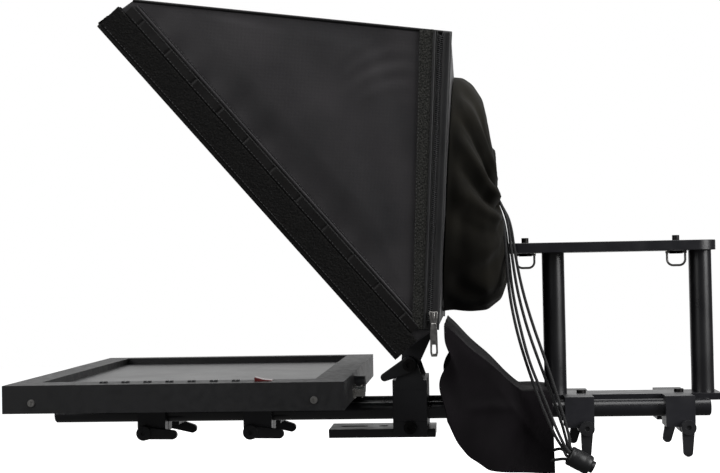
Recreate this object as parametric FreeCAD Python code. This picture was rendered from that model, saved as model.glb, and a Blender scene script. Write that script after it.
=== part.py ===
"""Rod-mounted teleprompter: a flat monitor, a sloping beam-splitter frame under a cloth hood,
a gathered lens sock, and a camera riser, all carried on two pairs of round rods.

Millimetres. The origin is the centre of the tripod thread in the underside of the tripod plate.
+X runs along the rods from the monitor to the camera, +Y across them, +Z up.
"""
import FreeCAD, Part
import math
import os

V = FreeCAD.Vector
os.makedirs("parts", exist_ok=True)

# ---------------------------------------------------------------- driving sizes
# rods
rod_d = 15.0
rod_spacing = 60.0
rod_z = 25.0
rod_front_end = -293.0
rod_joint_x = 26.0
rod_rear_end = 287.0
rod_chamfer = 1.0
rod_thread_r = 5.1
rod_thread_depth = 15.0
running_gap = 0.05
slide_gap = 0.15

# tripod plate and centre block
plate_length = 95.2
plate_width = 50.0
plate_thick = 8.0
plate_foot_inset = 3.0
plate_edge_z = 5.0
tripod_thread_r = 4.2
small_thread_r = 2.6
plate_slot_x = -26.0
plate_slot_length = 24.0
plate_slot_width = 6.6
block_length = 30.0
block_width = 84.0
block_bottom = 2.4
block_top = 43.9
jaw_width = 27.5
jaw_top = rod_z - rod_d / 2 - 1.1
jaw_screw_z = 11.1

# hood hinge
hinge_x = 26.0
hinge_z = 65.9
hinge_base_thick = 8.4
hinge_boss_r = 7.3
hinge_bolt_r = 4.0
ear_thick = 6.0
arm_thick = 5.0
side_gap = 0.5
lever_hub_thick = 4.0

# monitor
monitor_x0 = -294.9
monitor_length = 275.0
monitor_width = 347.0
monitor_bottom = 39.9
monitor_height = 22.5
sheet_thick = 1.6
bezel_left = 22.9
bezel_right = 26.1
bezel_near = 32.5
bezel_far = 15.5
screen_depth = 6.0
panel_thick = 8.0
board_thick = 1.6
button_count = 7
button_pitch = 18.0
button_x0 = -216.5
button_y = -monitor_width / 2 + 17.5
button_size = 6.0
button_rise = 1.4
rocker_x = -86.0
rocker_length = 14.0
rocker_width = 9.0

# rod clamps, shared by the monitor and the camera riser
clamp_length = 25.0
clamp_leg = 28.0
clamp_width = 88.0
clamp_top = 36.0
clamp_bottom = 0.5
clamp_bridge_z = 15.5
clamp_slit = 1.2
clamp_bolt_z = 9.3
clamp_bolt_r = 2.5
boss_r = 6.4
boss_thick = 6.0
lever_thick = 5.0
lever_reach = 25.0
long_lever_reach = 29.5
bolt_shift = 5.5
leg_round_r = 7.0
lever_width = 8.0
monitor_clamp_x = (-203.3, -108.5)
riser_clamp_x = (173.2, 259.5)
rail_width = 16.0
rail_length = 132.0
rail_y = 16.0

# camera riser
base_x0 = 141.9
base_length = 157.6
base_width = 40.0
base_thick = 6.0
post_r = 10.0
post_x = (155.6, 285.8)
camera_plate_x0 = 108.0
camera_plate_length = 188.0
camera_plate_width = 76.0
camera_plate_bottom = 161.7
camera_plate_thick = 8.8
camera_plate_corner = 17.0
front_slot = (115.0, 141.0)
rear_slot = (170.0, 270.0)
slot_width = 6.8
track_width = 17.4
track_depth = 3.0
camera_screw_x = (131.0, 265.0)
camera_screw_r = 3.175
camera_screw_top = camera_plate_bottom + camera_plate_thick + 5.0
camera_neck_r = 2.4
washer_thick = 1.4
ring_width = 18.0
ring_drop = 12.0
ring_wire_r = 1.0

# hood outline in the XZ plane, and its taper across Y
slope_angle = 130.5
slope_length = 354.0
hood_foot = (19.4, 79.0)
hood_rear_foot = (54.0, 103.0)
hood_rear_top = (69.0, 333.0)
flap_rise = 34.3
flap_drop = 4.6
hood_half_foot = 150.0
hood_half_grow = 0.1115
cloth_thick = 2.0
frame_depth = 20.0
frame_side = 12.0
frame_lip = 8.0
glass_thick = 3.0
retainer_thick = 4.0
hoop_r = 4.0
opening_z = 209.0
opening_r = 93.0
opening_sides = 8

# lens sock: (x, height of the middle, half width, half height)
sock_rings = ((71.0, 217.0, 97.0, 106.0), (86.0, 212.0, 95.0, 101.0), (97.0, 199.5, 87.0, 88.0),
              (104.0, 205.0, 65.0, 64.0), (107.0, 213.0, 42.0, 41.0))
sock_thick = 2.0
sock_sides = 24

# skirt: (x, shoulder y, shoulder z, hem y, hem z)
skirt_ribs = ((62.0, 112.0, 99.0, 104.0, 15.0), (74.0, 100.0, 90.0, 84.0, -10.0),
              (95.0, 79.0, 69.0, 66.0, -25.0), (125.0, 48.5, 43.0, 58.0, -27.0),
              (143.0, 48.5, 41.0, 63.0, -27.0))
skirt_thick = 2.0

# drawstring
cord_d = 2.6
lock_r = 8.5
lock_length = 20.0
lock_tilt = -28.0
lock_start = (159.0, -67.0, -9.5)

rod_r = rod_d / 2
rod_ys = (-rod_spacing / 2, rod_spacing / 2)
block_x0 = hinge_x - block_length / 2


# ---------------------------------------------------------------- small makers
def box(x0, x1, y0, y1, z0, z1):
    return Part.makeBox(x1 - x0, y1 - y0, z1 - z0, V(x0, y0, z0))


def rod_x(x0, x1, y, z, r):
    return Part.makeCylinder(r, x1 - x0, V(x0, y, z), V(1, 0, 0))


def rod_y(x, y0, y1, z, r):
    return Part.makeCylinder(r, y1 - y0, V(x, y0, z), V(0, 1, 0))


def rod_z_axis(x, y, z0, z1, r):
    return Part.makeCylinder(r, z1 - z0, V(x, y, z0), V(0, 0, 1))


def plate_xz(points, y0, y1):
    """A flat plate: an outline in XZ carried from y0 to y1."""
    wire = Part.makePolygon([V(x, y0, z) for x, z in points] + [V(points[0][0], y0, points[0][1])])
    return Part.Face(wire).extrude(V(0, y1 - y0, 0))


def bar_yz(points, x0, x1):
    """A bar: an outline in YZ carried from x0 to x1."""
    wire = Part.makePolygon([V(x0, y, z) for y, z in points] + [V(x0, points[0][0], points[0][1])])
    return Part.Face(wire).extrude(V(x1 - x0, 0, 0))


def sheet_3d(points, direction):
    """A flat sheet: a closed outline in space pushed along one direction."""
    return Part.Face(Part.makePolygon(list(points) + [points[0]])).extrude(direction)


def slot_z(x0, x1, y, width, z0, z1):
    r = width / 2
    body = box(x0 + r, x1 - r, y - r, y + r, z0, z1)
    return body.fuse([rod_z_axis(x0 + r, y, z0, z1, r), rod_z_axis(x1 - r, y, z0, z1, r)]).removeSplitter()


def capsule_xz(x0, z0, r0, x1, z1, r1, y0, y1):
    """A lever blade: two round ends of different size joined by their tangents' chord."""
    dx, dz = x1 - x0, z1 - z0
    length = math.hypot(dx, dz)
    nx, nz = -dz / length, dx / length
    web = plate_xz([(x0 + nx * r0, z0 + nz * r0), (x1 + nx * r1, z1 + nz * r1),
                    (x1 - nx * r1, z1 - nz * r1), (x0 - nx * r0, z0 - nz * r0)], y0, y1)
    return web.fuse([rod_y(x0, y0, y1, z0, r0), rod_y(x1, y0, y1, z1, r1)]).removeSplitter()


def hex_prism_y(x, z, across, y0, y1):
    r = across / math.sqrt(3)
    points = [(x + r * math.cos(math.radians(60 * k)), z + r * math.sin(math.radians(60 * k))) for k in range(6)]
    return plate_xz(points, y0, y1)


def tube_along(points, r, label=""):
    """A round tube along straight runs joined by the largest tangent arcs that the runs allow."""
    pts = [V(*p) for p in points]
    edges = []
    start = pts[0]
    radii = []
    for before, at, after in zip(pts, pts[1:], pts[2:]):
        a = (before - at).normalize()
        b = (after - at).normalize()
        turn = math.pi - a.getAngle(b)
        trim = 0.45 * min((before - at).Length, (after - at).Length)
        radius = trim / math.tan(turn / 2)
        radii.append(radius)
        first = at + a * trim
        last = at + b * trim
        inner = (a + b).normalize()
        middle = at + inner * (radius / math.cos(turn / 2) - radius)
        edges.append(Part.LineSegment(start, first).toShape())
        edges.append(Part.Arc(first, middle, last).toShape())
        start = last
    edges.append(Part.LineSegment(start, pts[-1]).toShape())
    path = Part.Wire(edges)
    direction = (pts[1] - pts[0]).normalize()
    ring = Part.Wire([Part.makeCircle(r, pts[0], direction)])
    tube = path.makePipeShell([ring], True, False)
    if label:
        ratio = tube.Volume / (math.pi * r * r * path.Length)
        print(label, "length", round(path.Length, 1), "tightest", round(min(radii), 1),
              "volume ratio", round(ratio, 3))
    return tube


def save(name, *solids):
    """Write one sub-part; several solids that don't touch stay separate solids in one node."""
    shape = solids[0] if len(solids) == 1 else Part.makeCompound(list(solids))
    for solid in solids:
        if not solid.isValid() or solid.Volume <= 0:
            print("BAD", name, solid.isValid(), solid.Volume)
    shape.exportStep("parts/" + name + ".step")


# ---------------------------------------------------------------- tripod plate
def plate_outline(gap):
    half = plate_width / 2 + gap
    foot = half - plate_foot_inset
    return [(-foot, 0), (foot, 0), (half, plate_edge_z), (half, plate_thick + gap),
            (-half, plate_thick + gap), (-half, plate_edge_z)]


def tripod_plate():
    body = bar_yz(plate_outline(0), -plate_length / 2, plate_length / 2)
    body = body.cut(rod_z_axis(0, 0, -1, plate_thick + 1, tripod_thread_r))
    body = body.cut(rod_z_axis(hinge_x, 0, -1, plate_thick + 1, small_thread_r))
    body = body.cut(slot_z(plate_slot_x - plate_slot_length / 2, plate_slot_x + plate_slot_length / 2,
                           0, plate_slot_width, -1, plate_thick + 1))
    save("tripod_plate", body)


# ---------------------------------------------------------------- centre block, jaw and rods
def dovetail(x0, x1):
    return bar_yz(plate_outline(slide_gap), x0 - 1, x1 + 1)


def centre_block():
    x1 = block_x0 + block_length
    half = block_width / 2
    body = box(block_x0, x1, -half, half, block_bottom, block_top)
    body = body.cut(dovetail(block_x0, x1))
    body = body.cut(box(block_x0 - 1, x1 + 1, -half - 1, -half + jaw_width + slide_gap,
                        block_bottom - 1, jaw_top + slide_gap))
    for y in rod_ys:
        body = body.cut(rod_x(block_x0 - 1, x1 + 1, y, rod_z, rod_r + running_gap))
    body = body.cut(rod_y(hinge_x, -half + jaw_width - 1, -half + jaw_width + 12, jaw_screw_z, clamp_bolt_r))
    for x, y in base_screw_places():
        body = body.cut(rod_z_axis(x, y, block_top - 9, block_top + 1, 2.0))
    save("centre_block", body)

    jaw = box(block_x0, x1, -half, -half + jaw_width, block_bottom, jaw_top).cut(dovetail(block_x0, x1))
    jaw = jaw.cut(rod_y(hinge_x, -half - 1, -half + jaw_width + 1, jaw_screw_z, clamp_bolt_r))
    save("dovetail_jaw", jaw)


def base_screw_places():
    return [(hinge_x + dx, y) for dx in (-9.0, 9.0) for y in (-18.0, 18.0)]


def block_screws():
    """The jaw's cross screw and the four screws of the hinge base, all socket head cap screws."""
    half = block_width / 2
    head = rod_y(hinge_x, -half - 5, -half, jaw_screw_z, 5.6).cut(
        hex_prism_y(hinge_x, jaw_screw_z, 5.0, -half - 6, -half - 2))
    cross = head.fuse(rod_y(hinge_x, -half, -half + jaw_width + 11, jaw_screw_z, clamp_bolt_r)).removeSplitter()
    top = block_top + hinge_base_thick
    solids = [cross]
    for x, y in base_screw_places():
        shank = rod_z_axis(x, y, block_top - 8, top - 4, 2.0)
        solids.append(shank.fuse(rod_z_axis(x, y, top - 4, top - 0.5, 3.5)).removeSplitter())
    save("block_screws", *solids)


def rods():
    solids = []
    for y in rod_ys:
        for x0, x1 in ((rod_front_end, rod_joint_x), (rod_joint_x, rod_rear_end)):
            rod = rod_x(x0, x1, y, rod_z, rod_r)
            outer = [e for e in rod.Edges if e.Curve.TypeId == "Part::GeomCircle"
                     and abs(e.Curve.Center.x - rod_joint_x) > 1]
            rod = rod.makeChamfer(rod_chamfer, outer)
            rod = rod.cut(rod_x(x0 - 1, x0 + rod_thread_depth, y, rod_z, rod_thread_r))
            rod = rod.cut(rod_x(x1 - rod_thread_depth, x1 + 1, y, rod_z, rod_thread_r))
            solids.append(rod)
    save("rods", *solids)
    reach = rod_thread_depth - 1
    save("rod_joiners", *[rod_x(rod_joint_x - reach, rod_joint_x + reach, y, rod_z, rod_thread_r) for y in rod_ys])


# ---------------------------------------------------------------- hood hinge
def hinge_parts():
    half = block_width / 2
    top = block_top + hinge_base_thick
    base = box(block_x0, block_x0 + block_length, -half, half, block_top, top)
    for x, y in base_screw_places():
        base = base.cut(rod_z_axis(x, y, block_top - 1, top - 4, 2.0))
        base = base.cut(rod_z_axis(x, y, top - 4, top + 1, 3.5))
    ears = []
    for y0 in (-half, half - ear_thick):
        ear = plate_xz([(hinge_x - 12, top), (hinge_x + 12, top), (hinge_x + hinge_boss_r, hinge_z),
                        (hinge_x - hinge_boss_r, hinge_z)], y0, y0 + ear_thick)
        ears.append(ear.fuse(rod_y(hinge_x, y0, y0 + ear_thick, hinge_z, hinge_boss_r)))
    base = base.fuse(ears).removeSplitter()
    base = base.cut(rod_y(hinge_x, -half - 1, half + 1, hinge_z, hinge_bolt_r))
    save("hinge_base", base)

    bolt = rod_y(hinge_x, -half - lever_hub_thick - side_gap, half, hinge_z, hinge_bolt_r)
    head_y = -half - lever_hub_thick - side_gap
    head = rod_y(hinge_x, head_y - 4, head_y, hinge_z, 5.4).cut(
        hex_prism_y(hinge_x, hinge_z, 5.0, head_y - 5, head_y - 1.5))
    nut = hex_prism_y(hinge_x, hinge_z, 13.0, half, half + 5)
    save("hinge_bolt", bolt.fuse([head, nut]).removeSplitter())

    lever = capsule_xz(hinge_x, hinge_z, hinge_boss_r, hinge_x - 21.5, hinge_z - 10.5, 3.6,
                       -half - lever_hub_thick - side_gap / 2, -half - side_gap / 2)
    lever = lever.cut(rod_y(hinge_x, -half - 9, -half + 1, hinge_z, hinge_bolt_r + running_gap))
    save("hinge_lever", lever)


def along(u, n):
    """A point of the hood's side view: u up the slope from the foot, n behind the slope."""
    a = math.radians(slope_angle)
    ux, uz = math.cos(a), math.sin(a)
    return hood_foot[0] + u * ux + n * uz, hood_foot[1] + u * uz - n * ux


def half_width(z):
    return hood_half_foot + hood_half_grow * (z - hood_foot[1])


def hinge_arms():
    """Two cheek plates that carry the glass frame's foot rail and the rear hoop, on one hinge tube."""
    half = block_width / 2
    inner = half - ear_thick - side_gap
    low_front, low_rear = along(frame_start, frame_start + 1), along(frame_start, frame_start + frame_depth + 0.5)
    outline = [(hinge_x - 7.5, hinge_z - 2), (low_front[0], low_front[1]), (low_rear[0], low_rear[1]),
               (hoop_foot()[0] - 3, hoop_foot()[1] + 1), (hoop_foot()[0] + 4, hoop_foot()[1] - 6),
               (hinge_x + 15, hinge_z + 14), (hinge_x + 7.5, hinge_z - 2)]
    solids = []
    for y0 in (-inner, inner - arm_thick):
        cheek = plate_xz(outline, y0, y0 + arm_thick).fuse(rod_y(hinge_x, y0, y0 + arm_thick, hinge_z, 8.0))
        solids.append(cheek)
    tube = rod_y(hinge_x, -inner + arm_thick - 1, inner - arm_thick + 1, hinge_z, 6.5)
    body = solids[0].fuse([solids[1], tube]).removeSplitter()
    body = body.cut(rod_y(hinge_x, -half, half, hinge_z, hinge_bolt_r + running_gap))
    body = body.cut(rod_y(hoop_foot()[0], -half, half, hoop_foot()[1], hoop_r))
    save("hinge_arms", body)


# ---------------------------------------------------------------- glass frame
frame_start = cloth_thick
frame_end = slope_length - flap_drop - 1.9


def frame_ring(inset_outer, inset_inner, n0, n1):
    """A ring on the sloping plane between two insets from the frame's outline, from depth n0 to n1."""
    def outline(inset):
        points = []
        for u in (frame_start + inset, frame_end - inset):
            x, z = along(u, n0)
            y = half_width(along(u, 0)[1]) - cloth_thick - 0.3 - inset
            points.append((x, y, z))
        (x0, y0, z0), (x1, y1, z1) = points
        return [V(x0, -y0, z0), V(x0, y0, z0), V(x1, y1, z1), V(x1, -y1, z1)]
    a = along(0, n0)
    b = along(0, n1)
    direction = V(b[0] - a[0], 0, b[1] - a[1])
    ring = sheet_3d(outline(inset_outer), direction)
    if inset_inner is not None:
        ring = ring.cut(sheet_3d(outline(inset_inner), direction))
    return ring


def glass_parts():
    lip = frame_ring(0, frame_side, frame_start, frame_start + frame_lip)
    wall = frame_ring(0, frame_side / 3, frame_start + frame_lip, frame_start + frame_depth)
    save("glass_frame", lip.fuse(wall).removeSplitter())
    face = frame_start + frame_lip
    save("beam_splitter", frame_ring(frame_side / 3 + 0.5, None, face, face + glass_thick))
    save("glass_retainers", frame_ring(frame_side / 3 + 0.5, frame_side, face + glass_thick,
                                       face + glass_thick + retainer_thick))


# ---------------------------------------------------------------- rear hoop
def hoop_foot():
    return hood_rear_foot[0] - 6.0, hood_rear_foot[1] + 6.0


def hoop_top():
    return hood_rear_top[0] - 9.5, hood_rear_top[1] - 8.0


def rear_hoop():
    """A bent tube arch that holds the hood's rear edges out, with a foot bar through the cheeks."""
    xf, zf = hoop_foot()
    xt, zt = hoop_top()
    corner = 22.0
    yf = half_width(zf) - cloth_thick - hoop_r - 1
    yt = half_width(zt - corner) - cloth_thick - hoop_r - 1
    legs = []
    for side in (-1, 1):
        leg_top = V(xt, side * yt, zt - corner)
        foot = V(xf, side * (yf - hoop_r), zf + hoop_r)
        leg = leg_top - foot
        legs.append(Part.makeCylinder(hoop_r, leg.Length, foot, leg))
        legs.append(Part.makeSphere(hoop_r, leg_top))
        turn = V(xt, side * (yt - corner), zt)
        bend = turn - leg_top
        legs.append(Part.makeCylinder(hoop_r, bend.Length, leg_top, bend))
        legs.append(Part.makeSphere(hoop_r, turn))
    legs.append(rod_y(xt, -(yt - corner), yt - corner, zt, hoop_r))
    legs.append(rod_y(xf, -yf, yf, zf, hoop_r))
    save("rear_hoop", legs[0].fuse(legs[1:]).removeSplitter())


# ---------------------------------------------------------------- hood cloth
def hood_cloth():
    front_top = along(slope_length, 0)
    hood_top_front = along(slope_length - flap_drop, flap_rise)
    side = [hood_foot, hood_rear_foot, hood_rear_top, hood_top_front, front_top]
    inside = cloth_thick + 0.35
    solids = []
    for sign in (-1, 1):
        points = [V(x, sign * half_width(z), z) for x, z in side]
        solids.append(sheet_3d(points, V(0, -sign * cloth_thick, 0)))

    def cross(a, b, push):
        (xa, za), (xb, zb) = a, b
        ya, yb = half_width(za) - inside, half_width(zb) - inside
        return sheet_3d([V(xa, -ya, za), V(xb, -yb, zb), V(xb, yb, zb), V(xa, ya, za)], push)
    solids.append(cross(hood_top_front, hood_rear_top, V(0, 0, -cloth_thick)))
    a = math.radians(slope_angle)
    cap_end = (hood_top_front[0] - 1.0, hood_top_front[1] - 0.6)
    solids.append(cross(front_top, cap_end, V(-math.cos(a) * 1.2, 0, -math.sin(a) * 1.2)))
    save("hood_panels", *solids)

    low = (hood_rear_foot[0], hood_rear_foot[1] + 0.5)
    high = (hood_rear_top[0], hood_rear_top[1] - 3.5)
    panel = cross(low, high, V(-cloth_thick, 0, 0))
    corners = [(math.cos(math.pi * (2 * k + 1) / opening_sides), math.sin(math.pi * (2 * k + 1) / opening_sides))
               for k in range(opening_sides)]
    leaves = []
    for near, far in zip(corners, corners[1:] + corners[:1]):
        outline = [(r * c[0], opening_z + r * c[1]) for r, c in
                   ((opening_r, near), (5 * opening_r, near), (5 * opening_r, far), (opening_r, far))]
        leaves.append(panel.common(bar_yz(outline, 0, 150)))
    save("hood_rear_panel", *leaves)


def lens_sock():
    """The open bag from the rear panel's opening to the lens, a shell of flat-sided rings."""
    lean = (hood_rear_top[0] - hood_rear_foot[0]) / (hood_rear_top[1] - 4.0 - hood_rear_foot[1])

    def ring(x, zc, a, b, lean=0.0):
        pts = []
        for k in range(sock_sides):
            turn = 2 * math.pi * k / sock_sides
            z = zc + b * math.sin(turn)
            pts.append(V(x + lean * (z - hood_rear_foot[1] - 0.5), a * math.cos(turn), z))
        return Part.makePolygon(pts + [pts[0]])
    seat, *hoops = sock_rings
    foot = hood_rear_foot[0]
    outer = Part.makeLoft([ring(foot, *seat[1:], lean)] + [ring(*hoop) for hoop in hoops], True, True)
    inner_rings = [ring(foot - 0.5, seat[1], seat[2] - sock_thick, seat[3] - sock_thick, lean)]
    for k, (x, zc, a, b) in enumerate(hoops):
        shift = 0.5 if k == len(hoops) - 1 else -sock_thick
        inner_rings.append(ring(x + shift, zc, a - sock_thick, b - sock_thick))
    inner = Part.makeLoft(inner_rings, True, True)
    save("lens_sock", outer.cut(inner))


def zipper_slider():
    """The slider at the zipper's lower end and the pull tab that hangs from it."""
    x, z = hood_rear_foot[0] - 3.0, hood_rear_foot[1] + 8.0
    y = -half_width(z) - 1.2
    slider = box(x - 3.5, x + 3.5, y - 3.5, y, z - 5, z + 5)
    tab = box(x - 3.0, x + 3.0, y - 4.2, y - 2.4, z - 31, z - 4)
    tab = tab.cut(box(x - 1.6, x + 1.6, y - 6, y, z - 29.5, z - 22))
    save("zipper_slider", slider.fuse(tab).removeSplitter())


def skirt():
    """A tent of cloth from the hood's rear foot down over the rods, with a curtain on each side."""
    def rib(x, ys, zs, yh, zh):
        t = skirt_thick
        pts = [V(x, -yh, zh), V(x, -ys, zs), V(x, ys, zs), V(x, yh, zh),
               V(x, yh - t, zh), V(x, ys - t, zs - t), V(x, -ys + t, zs - t), V(x, -yh + t, zh)]
        return Part.makePolygon(pts + [pts[0]])
    spans = []
    for a, b in zip(skirt_ribs, skirt_ribs[1:]):
        spans.append(Part.makeLoft([rib(*a), rib(*b)], True, True))
    body = spans[0].fuse(spans[1:])
    save("skirt", body)


# ---------------------------------------------------------------- monitor
def monitor():
    x0, x1 = monitor_x0, monitor_x0 + monitor_length
    half = monitor_width / 2
    top = monitor_bottom + monitor_height
    t = sheet_thick
    wx0, wx1 = x0 + bezel_left, x1 - bezel_right
    wy0, wy1 = -half + bezel_near, half - bezel_far
    shell = box(x0, x1, -half, half, monitor_bottom, top)
    shell = shell.cut(box(x0 + t, x1 - t, -half + t, half - t, monitor_bottom - 1, top - t))
    shell = shell.cut(box(wx0, wx1, wy0, wy1, top - t - 1, top + 1))
    lip = box(wx0 - t, wx1 + t, wy0 - t, wy1 + t, top - screen_depth, top - t)
    shell = shell.fuse(lip.cut(box(wx0, wx1, wy0, wy1, top - screen_depth - 1, top)))
    for k in range(button_count):
        x = button_x0 + k * button_pitch
        shell = shell.cut(box(x - button_size / 2 - 0.2, x + button_size / 2 + 0.2,
                              button_y - 2.2, button_y + 2.2, top - t - 1, top + 1))
    shell = shell.cut(box(rocker_x - rocker_length / 2 - 0.3, rocker_x + rocker_length / 2 + 0.3,
                          button_y - rocker_width / 2 - 0.3, button_y + rocker_width / 2 + 0.3, top - t - 1, top + 1))
    shell = shell.cut(rod_x(x1 - t - 1, x1 + 1, -66, monitor_bottom + 11.5, 5.6))
    shell = shell.cut(rod_x(x1 - t - 1, x1 + 1, -84, monitor_bottom + 7.0, 4.1))
    for x in screw_places():
        shell = shell.cut(rod_y(x, -half - 1, -half + t + 1, monitor_bottom + 8.5, 1.5))
        shell = shell.cut(rod_y(x, half - t - 1, half + 1, monitor_bottom + 8.5, 1.5))
    save("monitor_housing", shell.removeSplitter())

    inset = t + 0.2
    back = box(x0 + inset, x1 - inset, -half + inset, half - inset, monitor_bottom, monitor_bottom + t)
    flange = box(x0 + inset, x1 - inset, -half + inset, half - inset, monitor_bottom + t, monitor_bottom + 12)
    flange = flange.cut(box(x0, x1, -half + inset + t, half - inset - t, monitor_bottom, top))
    back = back.fuse(flange.cut(box(wx1, x1, -half, half, monitor_bottom + t, top)))
    for x in screw_places():
        back = back.cut(rod_y(x, -half - 1, -half + 6, monitor_bottom + 8.5, 1.5))
        back = back.cut(rod_y(x, half - 6, half + 1, monitor_bottom + 8.5, 1.5))
    save("monitor_back", back.removeSplitter())

    panel_top = top - screen_depth
    save("screen_panel", box(wx0 - 4, wx1 + 4, wy0 - 4, wy1 + 4, panel_top - panel_thick, panel_top))
    board_z = monitor_bottom + 4.5
    board = box(wx0 + 20, wx0 + 150, -70, 50, board_z, board_z + board_thick)
    for x in (wx0 + 24, wx0 + 146):
        for y in (-66, 46):
            board = board.fuse(rod_z_axis(x, y, monitor_bottom + t, board_z, 2.5))
    save("control_board", board.removeSplitter())

    screws = []
    for x in screw_places():
        for side in (-1, 1):
            shank = rod_y(x, -half - 0.1, -half + 5, monitor_bottom + 8.5, 1.5)
            head = rod_y(x, -half - 1.2, -half, monitor_bottom + 8.5, 2.9)
            cross = box(x - 1.7, x + 1.7, -half - 2, -half - 0.5, monitor_bottom + 8.1, monitor_bottom + 8.9)
            cross = cross.fuse(box(x - 0.4, x + 0.4, -half - 2, -half - 0.5, monitor_bottom + 6.8, monitor_bottom + 10.2))
            screw = shank.fuse(head).removeSplitter().cut(cross)
            if side > 0:
                screw = screw.mirror(V(0, 0, 0), V(0, 1, 0))
            screws.append(screw)
    save("housing_screws", *screws)

    z = monitor_bottom + 11.5
    inlet = rod_x(x1 - 10, x1, -66, z, 5.6).fuse(rod_x(x1, x1 + 9, -66, z, 7.2))
    inlet = inlet.cut(rod_x(x1 - 4, x1 + 10, -66, z, 4.6)).fuse(rod_x(x1 - 5, x1 + 6, -66, z, 1.2))
    save("power_inlet", inlet.removeSplitter())
    z = monitor_bottom + 7.0
    socket = rod_x(x1 - 8, x1, -84, z, 4.1).fuse(rod_x(x1, x1 + 2, -84, z, 6.2)).fuse(rod_x(x1 + 2, x1 + 10, -84, z, 4.4))
    socket = socket.cut(rod_x(x1 + 1, x1 + 11, -84, z, 3.5)).fuse(rod_x(x1, x1 + 8, -84, z, 1.2))
    socket = socket.fuse(rod_z_axis(x1 + 7.5, -84, z + 4.0, z + 5.4, 1.0)).fuse(rod_z_axis(x1 + 7.5, -84, z - 5.4, z - 4.0, 1.0))
    save("video_socket", socket.removeSplitter())

    for k in range(button_count):
        x = button_x0 + k * button_pitch
        cap = box(x - button_size / 2, x + button_size / 2, button_y - 2.0, button_y + 2.0, top - t - 1.5, top + button_rise)
        groove = box(x - 0.5, x + 0.5, button_y - 3, button_y + 3, top + button_rise - 0.7, top + button_rise + 1)
        save("menu_button_%d" % (k + 1), cap.cut(groove))
    r0, r1 = rocker_x - rocker_length / 2, rocker_x + rocker_length / 2
    profile = [(r0, top - 2), (r1, top - 2), (r1, top + 0.8), (rocker_x, top + 1.6), (r0, top + 3.6)]
    rocker = plate_xz(profile, button_y - rocker_width / 2, button_y + rocker_width / 2)
    save("power_rocker", rocker)


def screw_places():
    return (monitor_x0 + 24.0, monitor_x0 + monitor_length - 24.0)


def mounting_rails():
    middle = sum(monitor_clamp_x) / 2
    solids = []
    for y in (-rail_y, rail_y):
        solids.append(box(middle - rail_length / 2, middle + rail_length / 2, y - rail_width / 2, y + rail_width / 2,
                          clamp_top, monitor_bottom))
    save("mounting_rails", *solids)


# ---------------------------------------------------------------- rod clamps and their levers
def crossbar(x_mid, bolt_x, with_channel):
    """A bridge over both rods with a split leg under each, rounded about the lever bolt that pinches it."""
    x0, x1 = x_mid - clamp_length / 2, x_mid + clamp_length / 2
    half = clamp_width / 2
    body = box(x0, x1, -half, half, clamp_bolt_z, clamp_top)
    body = body.fuse(rod_y(bolt_x, -half, half, clamp_bolt_z, leg_round_r)).removeSplitter()
    body = body.cut(box(x0 - 1, x1 + 1, -half + clamp_leg, half - clamp_leg, clamp_bottom - 1, clamp_bridge_z))
    for y in rod_ys:
        body = body.cut(rod_x(x0 - 1, x1 + 1, y, rod_z, rod_r + running_gap))
        body = body.cut(box(x0 - 1, x1 + 1, y - clamp_slit / 2, y + clamp_slit / 2, clamp_bottom - 1, rod_z))
        body = body.cut(rod_y(bolt_x, y - clamp_leg, y + clamp_leg, clamp_bolt_z, clamp_bolt_r + running_gap))
    if with_channel:
        body = body.cut(box(x0 - 1, x1 + 1, -base_width / 2 - slide_gap, base_width / 2 + slide_gap,
                            clamp_top - base_thick, clamp_top + 1))
        body = body.cut(rod_z_axis(x_mid + 5, 0, clamp_top - 16, clamp_top, 2.1))
    return body


def clamp_lever(x_mid, side, angle, reach):
    """A lever with a round boss and a bolt that crosses the split leg; angle is its rest direction in XZ."""
    half = clamp_width / 2
    y0, y1 = -half - side_gap - boss_thick, -half - side_gap
    a = math.radians(angle)
    tip = (x_mid + reach * math.cos(a), clamp_bolt_z + reach * math.sin(a))
    boss = rod_y(x_mid, y0 - 2, y1, clamp_bolt_z, boss_r)
    blade = capsule_xz(x_mid, clamp_bolt_z, boss_r - 1, tip[0] - lever_width / 2 * math.cos(a),
                       tip[1] - lever_width / 2 * math.sin(a), lever_width / 2, y0, y0 + lever_thick)
    bolt = rod_y(x_mid, y1, -half + clamp_leg - 1, clamp_bolt_z, clamp_bolt_r)
    body = boss.fuse([blade, bolt]).removeSplitter()
    body = body.cut(hex_prism_y(x_mid, clamp_bolt_z, 4.0, y0 - 3, y0 - 0.2))
    return body if side < 0 else body.mirror(V(0, 0, 0), V(0, 1, 0))


def clamps():
    save("monitor_crossbars", *[crossbar(x, x - bolt_shift, False) for x in monitor_clamp_x])
    save("riser_crossbars", *[crossbar(x, x + bolt_shift, True) for x in riser_clamp_x])
    bolts = (("monitor", [x - bolt_shift for x in monitor_clamp_x], (-4, -4), long_lever_reach),
             ("riser", [x + bolt_shift for x in riser_clamp_x], (-92, -92), lever_reach))
    for label, places, angles, reach in bolts:
        for number, (x, angle) in enumerate(zip(places, angles), 1):
            for side, where in ((-1, "near"), (1, "far")):
                turned = angle if side < 0 else angle - 12
                save("%s_lever_%d_%s" % (label, number, where), clamp_lever(x, side, turned, reach))


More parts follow.
